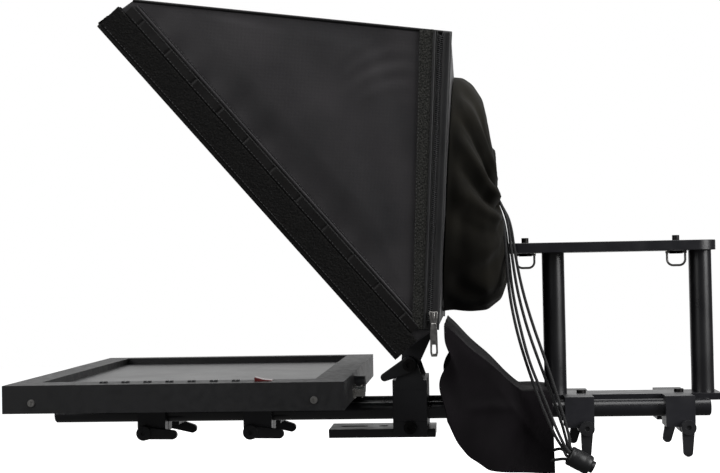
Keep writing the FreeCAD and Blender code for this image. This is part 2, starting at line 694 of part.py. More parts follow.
# ---------------------------------------------------------------- camera riser
def riser():
    x1 = base_x0 + base_length
    z0 = clamp_top - base_thick
    base = box(base_x0, x1, -base_width / 2, base_width / 2, z0, clamp_top)
    for x in riser_clamp_x:
        base = base.cut(rod_z_axis(x + 5, 0, z0 - 1, clamp_top + 1, 2.1))
    for x in post_x:
        base = base.cut(rod_z_axis(x, 0, z0 - 1, clamp_top + 1, 3.0))
    save("riser_base", base)

    posts = []
    for x in post_x:
        post = rod_z_axis(x, 0, clamp_top, camera_plate_bottom, post_r)
        post = post.cut(rod_z_axis(x, 0, clamp_top - 1, clamp_top + 12, 3.0))
        posts.append(post.cut(rod_z_axis(x, 0, camera_plate_bottom - 12, camera_plate_bottom + 1, 3.0)))
    save("riser_posts", *posts)

    top = camera_plate_bottom + camera_plate_thick
    half = camera_plate_width / 2
    plate = box(camera_plate_x0, camera_plate_x0 + camera_plate_length, -half, half, camera_plate_bottom, top)
    upright = [e for e in plate.Edges if abs(e.Vertexes[0].Point.z - e.Vertexes[-1].Point.z) > 1]
    plate = plate.makeFillet(camera_plate_corner, upright)
    for x0, x1 in (front_slot, rear_slot):
        plate = plate.cut(slot_z(x0, x1, 0, slot_width, camera_plate_bottom - 1, top + 1))
        wide = (track_width - slot_width) / 2
        plate = plate.cut(slot_z(x0 - wide, x1 + wide, 0, track_width, camera_plate_bottom - 1,
                                 camera_plate_bottom + track_depth))
    for x in post_x:
        plate = plate.cut(rod_z_axis(x, 0, camera_plate_bottom - 1, top + 1, 3.0))
        plate = plate.cut(rod_z_axis(x, 0, top - 3, top + 1, 5.5))
    save("camera_plate", plate)

    screws = []
    for x in post_x:
        screws.append(rod_z_axis(x, 0, camera_plate_bottom - 11, top - 3, 3.0).fuse(
            rod_z_axis(x, 0, top - 3, top - 0.3, 5.5)).removeSplitter())
        screws.append(rod_z_axis(x, 0, z0, clamp_top + 11, 3.0))
    for x in riser_clamp_x:
        screws.append(rod_z_axis(x + 5, 0, clamp_top - 15, clamp_top, 2.1).fuse(
            rod_z_axis(x + 5, 0, clamp_top, clamp_top + 2.6, 4.2)).removeSplitter())
    save("riser_screws", *screws)


def camera_screws():
    for label, x in zip(("front", "rear"), camera_screw_x):
        washer_z = camera_plate_bottom + track_depth
        washer = rod_z_axis(x, 0, washer_z - washer_thick, washer_z - slide_gap, 8.0)
        washer = washer.cut(rod_z_axis(x, 0, 0, 300, camera_neck_r + running_gap))
        save(label + "_screw_washer", washer)
        head_top = washer_z - washer_thick - slide_gap
        thread_z = camera_screw_top - 4.9
        screw = rod_z_axis(x, 0, thread_z, camera_screw_top, camera_screw_r)
        shank = screw.fuse(rod_z_axis(x, 0, head_top, thread_z, camera_neck_r)).removeSplitter()
        head = rod_z_axis(x, 0, head_top - 4.2, head_top, 5.9)
        head = head.cut(rod_x(x - 9.0, x + 9.0, 0, head_top - 2.6, 1.2))
        save(label + "_camera_screw", head, shank)
        pz = head_top - 2.6
        pivot_r = 1.2 - running_gap
        left = rod_x(x - ring_width / 2 - 0.4, x - 4.0, 0, pz, pivot_r)
        right = rod_x(x + 4.0, x + ring_width / 2 + 0.4, 0, pz, pivot_r)
        half = ring_width / 2 - ring_wire_r
        bow = tube_along([(x - half, 0, pz), (x - half, 0, pz - ring_drop), (x + half, 0, pz - ring_drop),
                          (x + half, 0, pz)], ring_wire_r)
        save(label + "_screw_ring", bow.fuse([left, right]).removeSplitter())


# ---------------------------------------------------------------- drawstring
front_strands = (
    ((108.6, -47.5, 199.0), (111.0, -50.0, 186.0), (112.5, -52.5, 160.0), (114.0, -54.5, 128.0),
     (119.5, -57.5, 96.0), (127.0, -61.0, 68.0), (135.5, -64.0, 42.0), (145.0, -66.0, 17.0),
     (153.0, -67.5, -0.5), (160.4, -68.6, -8.7)),
    ((108.6, -43.6, 198.0), (112.2, -46.2, 185.5), (114.5, -49.5, 160.0), (117.0, -52.0, 128.0),
     (123.0, -56.5, 97.0), (129.5, -64.5, 69.0), (139.5, -64.0, 43.0), (149.0, -66.5, 17.5),
     (156.0, -70.0, 0.5), (160.9, -71.6, -7.6)),
)
back_strands = (
    ((109.4, -46.0, 204.5), (114.6, -49.6, 190.0), (117.0, -51.5, 162.0), (121.0, -53.5, 130.0),
     (128.5, -56.0, 98.0), (138.0, -58.5, 69.0), (147.5, -60.5, 42.0), (156.0, -62.0, 17.0),
     (159.8, -63.5, 1.5), (161.4, -65.4, -6.7)),
    ((109.8, -41.6, 203.5), (117.0, -45.5, 189.0), (120.0, -48.0, 162.0), (125.5, -50.5, 130.0),
     (134.0, -54.0, 99.0), (143.0, -61.5, 71.5), (151.5, -63.5, 44.0), (158.5, -66.0, 19.0),
     (162.5, -67.8, 3.0), (162.1, -68.6, -5.3)),
)
tail_start = (157.9, -65.8, -13.0)
tail_bearing = 117.0
tail_lean = 60.0
tail_outline = ((0.0, 2.0), (7.0, 5.4), (14.5, 8.8), (22.5, 9.2), (28.2, 3.7),
                (28.2, -3.7), (22.5, -9.2), (14.5, -8.6), (7.0, -5.0), (0.0, -2.0))


def drawstring():
    r = cord_d / 2
    for name, strands in (("drawstring_front", front_strands), ("drawstring_back", back_strands)):
        save(name, *[tube_along(points, r, name) for points in strands])
    b, lean = math.radians(tail_bearing), math.radians(tail_lean)
    ahead = V(math.cos(b), math.sin(b), 0)
    across = V(math.sin(b) * math.sin(lean), -math.cos(b) * math.sin(lean), math.cos(lean))
    loop = [tuple(V(*tail_start) + ahead * s + across * w) for s, w in tail_outline]
    save("drawstring_tail", tube_along(loop, r, "drawstring_tail"))

    a = math.radians(lock_tilt)
    start = V(*lock_start)
    direction = V(math.cos(a), 0, math.sin(a))
    barrel = Part.makeCylinder(lock_r, lock_length, start + direction * 3.0, direction)
    barrel = barrel.cut(Part.makeCylinder(lock_r - 3, 9, start + direction * (lock_length - 5.0), direction))
    save("cord_lock", barrel)
    plunger = Part.makeCylinder(lock_r - 3.3, 9, start + direction * (lock_length - 3.0), direction)
    save("cord_lock_button", plunger)


for build in (tripod_plate, centre_block, block_screws, rods, hinge_parts, hinge_arms, glass_parts, rear_hoop,
              hood_cloth, lens_sock, zipper_slider, skirt, monitor, mounting_rails, clamps, riser,
              camera_screws, drawstring):
    build()
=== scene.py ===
"""A rod-mounted teleprompter, dressed piece by piece in the order it is put together."""
import math

import bmesh
import bpy
import numpy as np
from mathutils import Matrix, Vector


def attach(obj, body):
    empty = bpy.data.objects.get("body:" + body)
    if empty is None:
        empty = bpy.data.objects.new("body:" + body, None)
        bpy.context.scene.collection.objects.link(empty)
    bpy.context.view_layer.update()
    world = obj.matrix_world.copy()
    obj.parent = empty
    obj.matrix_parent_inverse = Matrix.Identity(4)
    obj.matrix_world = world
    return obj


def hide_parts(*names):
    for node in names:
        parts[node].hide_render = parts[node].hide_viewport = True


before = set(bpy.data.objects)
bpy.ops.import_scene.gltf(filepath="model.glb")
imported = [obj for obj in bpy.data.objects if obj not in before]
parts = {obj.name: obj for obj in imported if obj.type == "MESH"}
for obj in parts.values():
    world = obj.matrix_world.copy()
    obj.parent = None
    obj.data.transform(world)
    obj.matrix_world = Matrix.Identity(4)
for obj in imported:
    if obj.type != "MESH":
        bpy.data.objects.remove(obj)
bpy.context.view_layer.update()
MM = 0.001


# ------------------------------------------------------------------ block, rods and rod clamps
# Milled and turned aluminium, bead blasted and dyed black in the anodising bath. Sharp corners
# are broken by a narrow chamfer that catches the light as a thin bright line.
def linear(hex_colour):
    """Linear light from an sRGB hex colour: dark channels are divided by 12.92, the rest have their curve undone."""
    c = np.array([int(hex_colour[i:i + 2], 16) for i in (0, 2, 4)]) / 255
    return (*np.where(c <= 0.04045, c / 12.92, ((c + 0.055) / 1.055) ** 2.4).tolist(), 1.0)


def add(tree, kind, options=None, sockets=None):
    """Adds one node, with its options set and its sockets given a value or a link."""
    made = tree.nodes.new("ShaderNode" + kind)
    for name, value in (options or {}).items():
        setattr(made, name, value)
    for name, value in (sockets or {}).items():
        if isinstance(value, bpy.types.NodeSocket):
            tree.links.new(value, made.inputs[name])
        else:
            made.inputs[name].default_value = value
    return made


def start_material(name, **surface):
    """A new node material with its shader's own values set: returns material, tree, shader and Object coordinates."""
    material = bpy.data.materials.new(name)
    material.use_nodes = True
    tree = material.node_tree
    shader = tree.nodes["Principled BSDF"]
    for socket, value in surface.items():
        shader.inputs[socket.replace("_", " ")].default_value = value
    return material, tree, shader, add(tree, "TexCoord").outputs["Object"]


def blotches(tree, place, size_mm, low, high, shader, socket, detail=3.0):
    """Drives one shader socket between two values with soft spots of the given size."""
    noise = add(tree, "TexNoise", sockets={"Vector": place, "Scale": 1000 / size_mm, "Detail": detail})
    spread = add(tree, "ValToRGB", sockets={"Fac": noise.outputs["Fac"]})
    grey = isinstance(low, float)
    spread.color_ramp.elements[0].position, spread.color_ramp.elements[1].position = 0.32, 0.68
    spread.color_ramp.elements[0].color = (low, low, low, 1) if grey else low
    spread.color_ramp.elements[1].color = (high, high, high, 1) if grey else high
    tree.links.new(spread.outputs["Color"], shader.inputs[socket])
    return noise.outputs["Fac"]


def raise_surface(tree, shader, height, depth_mm, strength=1.0, under=None):
    """Bumps the surface by a height of 0 to 1 times a depth in millimetres, on top of another bump."""
    bump = add(tree, "Bump", sockets={"Height": height, "Distance": depth_mm * MM, "Strength": strength})
    if under is not None:
        tree.links.new(under, bump.inputs["Normal"])
    tree.links.new(bump.outputs["Normal"], shader.inputs["Normal"])
    return bump.outputs["Normal"]


def anodised(name, colour, rough, grain_mm=0.35, grain_depth=0.02):
    """Dyed anodised aluminium: a hard oxide film, so a satin gloss over near-black with a fine blasted grain."""
    material, tree, shader, place = start_material(name, Metallic=0.0, IOR=1.62, Specular_IOR_Level=0.5)
    blotches(tree, place, 60, linear(colour[0]), linear(colour[1]), shader, "Base Color")
    blotches(tree, place, 14, rough - 0.04, rough + 0.05, shader, "Roughness")
    grain = add(tree, "TexNoise", sockets={"Vector": place, "Scale": 1000 / grain_mm, "Detail": 2.0})
    raise_surface(tree, shader, grain.outputs["Fac"], grain_depth)
    return material


def eased(name, radius_mm, material, body, segments=2, angle=32):
    """Breaks a CAD part's sharp edges: its mesh is merged and flat faces joined, then edges get a narrow bevel."""
    mesh = parts[name].data.copy()
    work = bmesh.new()
    work.from_mesh(mesh)
    bmesh.ops.remove_doubles(work, verts=work.verts, dist=2e-6)
    bmesh.ops.dissolve_limit(work, angle_limit=math.radians(0.4), verts=work.verts, edges=work.edges)
    bmesh.ops.recalc_face_normals(work, faces=work.faces)
    work.to_mesh(mesh)
    work.free()
    mesh.materials.clear()
    mesh.materials.append(material)
    piece = bpy.data.objects.new(name + "_eased", mesh)
    bpy.context.scene.collection.objects.link(piece)
    mesh.polygons.foreach_set("use_smooth", np.ones(len(mesh.polygons), bool))
    mesh.set_sharp_from_angle(angle=math.radians(angle))
    bevel = piece.modifiers.new("broken edges", "BEVEL")
    bevel.width = radius_mm * MM
    bevel.segments = segments
    bevel.limit_method = "ANGLE"
    bevel.angle_limit = math.radians(angle)
    bevel.harden_normals = True
    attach(piece, body)
    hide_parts(name)
    return piece


def coat(material, *names):
    """Gives CAD parts that keep their own mesh a material."""
    for name in names:
        mesh = parts[name].data
        mesh.materials.clear()
        mesh.materials.append(material)


block_black = anodised("black anodised blasted", ("121217", "1a1a20"), 0.40)
plate_black = anodised("black anodised plate", ("101015", "17171c"), 0.33)
eased("tripod_plate", 0.5, plate_black, "tripod")
eased("centre_block", 0.6, block_black, "chassis")
eased("dovetail_jaw", 0.5, block_black, "chassis")
for clamp, carrier in (("monitor_crossbars", "monitor"), ("riser_crossbars", "riser")):
    eased(clamp, 0.6, block_black, carrier)
eased("mounting_rails", 0.3, plate_black, "monitor")

# Drawn tube, ground round and dyed: a tighter gloss than the milled parts, with faint drawing lines.
rod_black, tree, shader, place = start_material("black anodised drawn rod", IOR=1.62)
blotches(tree, place, 80, linear("0f0f12"), linear("16161a"), shader, "Base Color")
blotches(tree, place, 20, 0.24, 0.34, shader, "Roughness")
long_way = add(tree, "Mapping", sockets={"Vector": place, "Scale": (0.02, 1.0, 1.0)})
lines = add(tree, "TexNoise", sockets={"Vector": long_way.outputs["Vector"], "Scale": 1800.0, "Detail": 2.0})
raise_surface(tree, shader, lines.outputs["Fac"], 0.01)
coat(rod_black, "rods")

# Cap screws, bolts and studs: hardened steel with a black oxide skin, a dull metal sheen.
oxide, tree, shader, place = start_material("black oxide steel", Metallic=0.85)
blotches(tree, place, 4, linear("1c1b1b"), linear("2a2929"), shader, "Base Color")
blotches(tree, place, 3, 0.34, 0.5, shader, "Roughness")
coat(oxide, "block_screws", "rod_joiners", "hinge_bolt", "riser_screws", "front_camera_screw", "rear_camera_screw",
     "front_screw_washer", "rear_screw_washer")


# ------------------------------------------------------------------ hood hinge and clamp levers
# The hinge base and its ears are milled like the block. The levers are die cast, powder coated
# in satin black, with a softly rounded blade and a domed boss.
lever_black, tree, shader, place = start_material("black powder coated casting", IOR=1.5)
blotches(tree, place, 30, linear("131315"), linear("1d1d20"), shader, "Base Color")
blotches(tree, place, 9, 0.36, 0.5, shader, "Roughness")
orange_peel = add(tree, "TexNoise", sockets={"Vector": place, "Scale": 900.0, "Detail": 1.0})
raise_surface(tree, shader, orange_peel.outputs["Fac"], 0.04)
eased("hinge_base", 0.6, block_black, "chassis")
eased("hinge_lever", 0.9, lever_black, "hinge_lever", 3)
for rack, count in (("monitor", 2), ("riser", 2)):
    for number in range(1, count + 1):
        for side in ("near", "far"):
            name = f"{rack}_lever_{number}_{side}"
            eased(name, 0.8, lever_black, name, 3)


# ------------------------------------------------------------------ camera riser
# A base plate between two rod clamps, two round posts screwed to it, and the slotted camera plate.
# The plates are milled and blasted; the posts are turned, so they carry a clean vertical highlight.
eased("riser_base", 0.6, plate_black, "riser")
eased("camera_plate", 0.9, plate_black, "riser", 3)
post_black, tree, shader, place = start_material("black anodised turned post", IOR=1.62)
blotches(tree, place, 70, linear("0e0e11"), linear("151518"), shader, "Base Color")
blotches(tree, place, 25, 0.27, 0.36, shader, "Roughness")
around = add(tree, "Mapping", sockets={"Vector": place, "Scale": (1.0, 1.0, 12.0)})
turning = add(tree, "TexNoise", sockets={"Vector": around.outputs["Vector"], "Scale": 120.0, "Detail": 2.0})
raise_surface(tree, shader, turning.outputs["Fac"], 0.01)
coat(post_black, "riser_posts")

# Bright nickel plated wire and pressed steel: the folding rings, the case screws, the zipper's slider.
nickel, tree, shader, place = start_material("dull nickel plating", Metallic=1.0)
blotches(tree, place, 3, linear("8a8886"), linear("aaa8a5"), shader, "Base Color")
blotches(tree, place, 2, 0.28, 0.42, shader, "Roughness")
coat(nickel, "front_screw_ring", "rear_screw_ring", "housing_screws")


# ------------------------------------------------------------------ monitor
# A case folded from 1.6 mm steel sheet with open corner seams, sprayed with fine textured black
# paint. The screen sits back in the window; the buttons and rocker are moulded and stand proud.
case_paint, tree, shader, place = start_material("fine textured black paint", IOR=1.5)
blotches(tree, place, 90, linear("0d0d0f"), linear("151517"), shader, "Base Color")
blotches(tree, place, 6, 0.42, 0.54, shader, "Roughness")
texture = add(tree, "TexNoise", sockets={"Vector": place, "Scale": 1500.0, "Detail": 3.0})
raise_surface(tree, shader, texture.outputs["Fac"], 0.06, 0.8)
eased("monitor_housing", 0.7, case_paint, "monitor", 3)
coat(case_paint, "monitor_back")

panel_film, tree, shader, place = start_material("anti-glare screen film", IOR=1.49, Coat_Weight=0.25,
                                                 Coat_Roughness=0.3)
blotches(tree, place, 120, linear("0c0c0f"), linear("131317"), shader, "Base Color")
blotches(tree, place, 40, 0.34, 0.4, shader, "Roughness")
haze = add(tree, "TexNoise", sockets={"Vector": place, "Scale": 2500.0, "Detail": 1.0})
raise_surface(tree, shader, haze.outputs["Fac"], 0.015)
coat(panel_film, "screen_panel")

moulded, tree, shader, place = start_material("moulded black plastic", IOR=1.5)
blotches(tree, place, 12, linear("101012"), linear("19191b"), shader, "Base Color")
blotches(tree, place, 4, 0.38, 0.5, shader, "Roughness")
coat(moulded, "power_inlet", "cord_lock_button")
for number in range(1, 8):
    eased(f"menu_button_{number}", 0.5, moulded, f"menu_button_{number}")
rocker_red, tree, shader, place = start_material("dark red translucent plastic", IOR=1.5, Coat_Weight=0.4)
blotches(tree, place, 10, linear("3a0c0c"), linear("521212"), shader, "Base Color")
blotches(tree, place, 5, 0.2, 0.3, shader, "Roughness")
eased("power_rocker", 0.6, rocker_red, "power_rocker")

bright_nickel, tree, shader, place = start_material("bright nickel connector", Metallic=1.0)
blotches(tree, place, 5, linear("a8a6a2"), linear("c4c2be"), shader, "Base Color")
blotches(tree, place, 3, 0.18, 0.3, shader, "Roughness")
coat(bright_nickel, "video_socket")
board_green, tree, shader, place = start_material("solder masked board", IOR=1.5)
blotches(tree, place, 6, linear("0f3a1d"), linear("17512a"), shader, "Base Color")
blotches(tree, place, 3, 0.3, 0.45, shader, "Roughness")
coat(board_green, "control_board")


# ------------------------------------------------------------------ glass frame
# An aluminium frame with a half-mirrored glass laid on its lip and held by retaining strips,
# on two cheek plates. A bent tube hoop holds the cloth out at the rear.
for name in ("glass_frame", "glass_retainers", "hinge_arms"):
    eased(name, 0.5, block_black, "hood")
coat(rod_black, "rear_hoop")
half_mirror, tree, shader, place = start_material("half-mirror coated glass", IOR=1.52, Transmission_Weight=0.72,
                                                  Roughness=0.02, Coat_Weight=1.0, Coat_Roughness=0.02)
blotches(tree, place, 200, linear("c9d2d6"), linear("d6dcdd"), shader, "Base Color")
coat(half_mirror, "beam_splitter")


# ------------------------------------------------------------------ hood cloth
# Urethane coated nylon, cut in five pieces and sewn: two sides, a top, a front flap and a rear
# panel. The sides hang from the piped top seam and are pulled smooth over the frame and hoop.
HOOD_FOOT = np.array((19.4, 79.0))
REAR_FOOT = np.array((54.0, 103.0))
REAR_TOP = np.array((69.0, 333.0))
SLOPE_LENGTH = 354.0
slope_up = np.array((-0.64945, 0.76041))
slope_in = np.array((0.76041, 0.64945))
FRONT_TOP = HOOD_FOOT + SLOPE_LENGTH * slope_up
FLAP_TOP = HOOD_FOOT + 349.4 * slope_up + 34.3 * slope_in


def half_width(z):
    """The hood's half width: 150 mm at the foot, and 0.1115 mm more for each millimetre of height."""
    return 150.0 + 0.1115 * (z - 79.0)


def bell(x, middle, spread):
    """A bell curve: one at the middle, and near nothing at twice the spread."""
    return np.exp(-((x - middle) / spread) ** 2)


def ease(x, low, high):
    """Rises smoothly from zero at low to one at high: three squares less two cubes."""
    t = np.clip((x - low) / (high - low), 0, 1)
    return t * t * (3 - 2 * t)


def grid_mesh(name, points, flat=None, closed=False, flip=False):
    """A mesh from rows and columns of points in mm. Neighbours make its quads; flat is the cloth's own map in mm."""
    points = np.asarray(points, float)
    rows, cols = points.shape[:2]
    r, c = np.meshgrid(np.arange(rows - 1), np.arange(cols if closed else cols - 1), indexing="ij")
    row = np.stack([r, r + 1, r + 1, r], -1).reshape(-1, 4)
    col = np.stack([c, c, c + 1, c + 1], -1).reshape(-1, 4)
    if flip:
        row, col = row[:, ::-1], col[:, ::-1]
    mesh = bpy.data.meshes.new(name)
    mesh.from_pydata((points.reshape(-1, 3) * MM).tolist(), [], (row * cols + col % cols).tolist())
    if flat is not None:
        layer = mesh.uv_layers.new(name="flat")
        layer.data.foreach_set("uv", (np.asarray(flat, float)[row, col] * MM).ravel())
    return mesh


def place_piece(name, mesh, material, body, covers=(), thick_mm=0.0, smooth=True):
    """Puts a mesh in the scene as a piece that rides on a body, with a wall thickness inside its surface."""
    piece = bpy.data.objects.new(name, mesh)
    bpy.context.scene.collection.objects.link(piece)
    mesh.materials.append(material)
    mesh.polygons.foreach_set("use_smooth", np.full(len(mesh.polygons), smooth))
    if thick_mm:
        wall = piece.modifiers.new("cloth thickness", "SOLIDIFY")
        wall.thickness = thick_mm * MM
        wall.offset = -1.0
        wall.use_rim = True
    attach(piece, body)
    if covers:
        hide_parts(*covers)
    return piece


def woven(name, colours, thread_mm, rough, depth_mm, sheen, twill=0.0, gloss=0.35):
    """Woven cloth: warp and weft ridges at right angles on the cloth's own map, over soft blotches of dye."""
    material, tree, shader, place = start_material(name, IOR=1.48, Sheen_Weight=sheen, Sheen_Roughness=0.5,
                                                   Specular_IOR_Level=gloss)
    blotches(tree, place, 45, linear(colours[0]), linear(colours[1]), shader, "Base Color")
    blotches(tree, place, 25, rough - 0.06, rough + 0.06, shader, "Roughness")
    flat = add(tree, "UVMap", {"uv_map": "flat"}).outputs["UV"]
    turned = add(tree, "Mapping", sockets={"Vector": flat, "Rotation": (0, 0, twill)})
    heights = []
    for way in ("X", "Y"):
        wave = add(tree, "TexWave", {"wave_type": "BANDS", "bands_direction": way, "wave_profile": "SIN"},
                   {"Vector": turned.outputs["Vector"], "Scale": 1000 / thread_mm / 6.2832 * 2, "Distortion": 1.2,
                    "Detail": 1.0, "Detail Scale": 3.0})
        heights.append(wave.outputs["Fac"])
    cross = add(tree, "Math", {"operation": "MULTIPLY"}, {0: heights[0], 1: heights[1]})
    first = raise_surface(tree, shader, cross.outputs["Value"], depth_mm)
    slubs = add(tree, "TexNoise", sockets={"Vector": place, "Scale": 320.0, "Detail": 4.0})
    raise_surface(tree, shader, slubs.outputs["Fac"], depth_mm * 1.5, 0.7, first)
    return material


nylon = woven("coated black nylon", ("262527", "302e30"), 1.1, 0.5, 0.05, 0.07)
nylon_band = woven("black nylon binding", ("0c0b0b", "121111"), 0.9, 0.5, 0.05, 0.03, 0.4, 0.22)


def side_grid(sign, rows=150, cols=110):
    """One hood side: rows run along its lower edges and top seam, columns from the one to the other; folds are added
    outwards."""
    s = np.linspace(0, 1, rows)[:, None, None]
    t = np.linspace(0, 1, cols)[None, :, None]
    run = s * (SLOPE_LENGTH + 42.1)
    knee = run <= SLOPE_LENGTH
    low = np.where(knee, FRONT_TOP - (FRONT_TOP - HOOD_FOOT) * np.minimum(run / SLOPE_LENGTH, 1),
                   HOOD_FOOT + (REAR_FOOT - HOOD_FOOT) * np.maximum(run - SLOPE_LENGTH, 0) / 42.1)
    high = FLAP_TOP + (REAR_TOP - FLAP_TOP) * s
    xz = low * (1 - t) + high * t
    x, z = xz[..., 0], xz[..., 1]
    s, t = s[..., 0], t[..., 0]
    inset = (x - HOOD_FOOT[0]) * slope_in[0] + (z - HOOD_FOOT[1]) * slope_in[1]
    up = (x - HOOD_FOOT[0]) * slope_up[0] + (z - HOOD_FOOT[1]) * slope_up[1]
    rim = np.minimum(np.minimum(inset - 34, 34 - x), (1 - t) * 300) / 30
    free = ease(rim, 0, 1)
    bulge = 4.2 * np.sin(math.pi * np.clip(s, 0, 1) ** 1.25) * np.sin(math.pi * t) ** 0.9 * free
    swags = 0.85 * np.sin(x / 8.6 + 0.9 * np.sin(z / 47) + 0.02 * z) * bell(z, 215, 95) * free
    fan = 0.8 * np.sin((x + 0.55 * z) / 11.0 + 0.6 * np.sin(z / 30)) * bell(z, 318, 40) * free
    pulls = 0.45 * np.sin(z / 2.3 + 0.004 * (x - 30) ** 2) * bell(x, 16, 22) * bell(z, 308, 18)
    puckers = 0.45 * np.cos(2 * math.pi * up / 31.0) * np.exp(-np.maximum(inset - 35, 0) / 12) * (inset > 30)
    out = -0.9 + bulge + swags + fan + pulls + puckers
    points = np.stack([x, sign * (half_width(z) + out), z], -1)
    return points, xz


for sign, label in ((-1, "near"), (1, "far")):
    points, flat = side_grid(sign)
    place_piece("hood_side_" + label, grid_mesh("hood side", points, flat, flip=sign > 0), nylon, "hood",
                ("hood_panels",), 0.8)


def span_grid(start, end, rows, sag, reach=1.0):
    """Cloth from the near side to the far side between two lines in the side view; it dips a little between its
    supports."""
    t = np.linspace(0, 1, rows)[:, None]
    v = np.linspace(-1, 1, 121)[None, :]
    line = start + (end - start) * t
    x = np.broadcast_to(line[:, :1], (rows, 121))
    z = np.broadcast_to(line[:, 1:], (rows, 121))
    y = v * (half_width(z) - reach)
    length = float(np.hypot(*(end - start)))
    along_line = np.broadcast_to(t * length, x.shape)
    creases = 0.5 * np.sin(along_line / 9 + 1.6 * np.sin(y / 60)) + 0.4 * np.sin(y / 11 + np.sin(along_line / 40))
    dip = -sag * np.sin(math.pi * t) ** 0.7 * (1 - v ** 4) + creases * np.sin(math.pi * t) * (1 - v ** 6)
    return np.stack([x, y, z + dip - 1.0], -1), np.stack([along_line, y], -1)


points, flat = span_grid(FLAP_TOP, REAR_TOP, 90, 4.0)
place_piece("hood_top", grid_mesh("hood top", points, flat, flip=True), nylon, "hood", ("hood_panels",), 0.8)
points, flat = span_grid(FRONT_TOP + (1.2, 0.8), FLAP_TOP + (0.6, 0.2), 16, 0.0)
place_piece("hood_front_flap", grid_mesh("hood front flap", points, flat, flip=True), nylon, "hood",
            ("hood_panels",), 0.8)


def rear_panel_grid():
    """The rear panel: each column runs from the round opening out to the panel's border, on the leaning rear plane."""
    turn = np.linspace(0, 2 * math.pi, 193)[:-1][None, :]
    t = np.linspace(0, 1, 26)[:, None]
    cy, cz = np.cos(turn), np.sin(turn)
    middle, low, high = 209.0, 103.2, 332.2
    wide = (half_width(middle) - 0.6) / np.maximum(np.abs(cy) - 0.1115 * cz, 1e-6)
    edge = np.minimum(wide, np.where(cz > 0, high - middle, middle - low) / np.maximum(np.abs(cz), 1e-6))
    r = 91.0 + (edge - 91.0) * t
    y, z = r * cy, middle + r * cz
    x = REAR_FOOT[0] + (z - 103.5) * 0.0664
    slack = 0.9 * np.sin(9 * turn + r / 30) * np.sin(math.pi * t)
    return np.stack([x - 0.3 + slack, y, z], -1), np.stack([y, z], -1)


points, flat = rear_panel_grid()
place_piece("rear_panel", grid_mesh("rear panel", points, flat, closed=False, flip=True), nylon, "hood",
            ("hood_rear_panel",), 0.8)


# ------------------------------------------------------------------ hood edge trims
# Loop tape, 22 mm wide, is sewn along each sloping edge, then a smooth binding tacked every 31 mm.
# The rear edge has a zipper between two tapes, a piping cord and a band of coarse hook tape.
def carried(profile, ahead_xz, inward_xz, start_xz, distances, sign, wobble=None, narrow=0.0):
    """A profile of (inset, outset) pairs carried along a straight edge: inset runs across the side, outset away from
    it; narrow is how much it tapers at the start."""
    profile = np.asarray(profile, float)
    step = np.asarray(distances, float)[:, None]
    inset = profile[None, :, 0] * (1 - narrow * (1 - np.clip(step / step.max(), 0, 1)))
    outset = profile[None, :, 1] + (0 if wobble is None else wobble)
    x = start_xz[0] + ahead_xz[0] * step + inward_xz[0] * inset
    z = start_xz[1] + ahead_xz[1] * step + inward_xz[1] * inset
    y = sign * (half_width(z) + outset)
    return np.stack([x, y, z], -1), np.stack([np.broadcast_to(inset, x.shape), np.broadcast_to(step, x.shape)], -1)


def rounded(low, high, base, rise, edge=0.6, steps=6):
    """A flat-topped strip's section: quarter rounds at both edges and a level middle."""
    turn = np.linspace(0, math.pi / 2, 4)
    left = np.stack([low + edge * (1 - np.cos(turn)), base + (rise - base) * np.sin(turn)], 1)
    middle = np.stack([np.linspace(low + edge, high - edge, steps + 2)[1:-1], np.full(steps, rise)], 1)
    right_side = left[::-1].copy()
    right_side[:, 0] = high - edge * (1 - np.cos(turn[::-1]))
    return np.concatenate([left, middle, right_side])


def pile(name, colours, fibre_mm, depth_mm):
    """Hook or loop tape: a dense felt of looped threads, so a deep matte colour and a coarse tangled relief."""
    material, tree, shader, place = start_material(name, IOR=1.45, Sheen_Weight=0.03, Sheen_Roughness=0.6,
                                                   Roughness=0.85, Specular_IOR_Level=0.2)
    spots = add(tree, "TexNoise", sockets={"Vector": place, "Scale": 1000 / fibre_mm, "Detail": 4.0, "Roughness": 0.7})
    ramp = add(tree, "ValToRGB", sockets={"Fac": spots.outputs["Fac"]})
    ramp.color_ramp.elements[0].position, ramp.color_ramp.elements[1].position = 0.38, 0.66
    ramp.color_ramp.elements[0].color, ramp.color_ramp.elements[1].color = linear(colours[0]), linear(colours[1])
    tree.links.new(ramp.outputs["Color"], shader.inputs["Base Color"])
    cells = add(tree, "TexVoronoi", {"feature": "F1"}, {"Vector": place, "Scale": 1000 / fibre_mm * 0.8})
    first = raise_surface(tree, shader, cells.outputs["Distance"], depth_mm)
    raise_surface(tree, shader, spots.outputs["Fac"], depth_mm, 0.8, first)
    return material


loop_pile = pile("brushed loop tape", ("050505", "151413"), 1.5, 0.5)
hook_pile = pile("coarse hook tape", ("151514", "3d3d3a"), 1.2, 0.5)
tape_satin = woven("zipper tape satin", ("19191a", "232324"), 0.8, 0.4, 0.04, 0.12)
thread_mat, tree, shader, place = start_material("bonded nylon thread", IOR=1.5, Sheen_Weight=0.1)
blotches(tree, place, 3, linear("0b0b0c"), linear("19191a"), shader, "Base Color")
blotches(tree, place, 2, 0.4, 0.55, shader, "Roughness")
fuzz = np.random.default_rng(7)


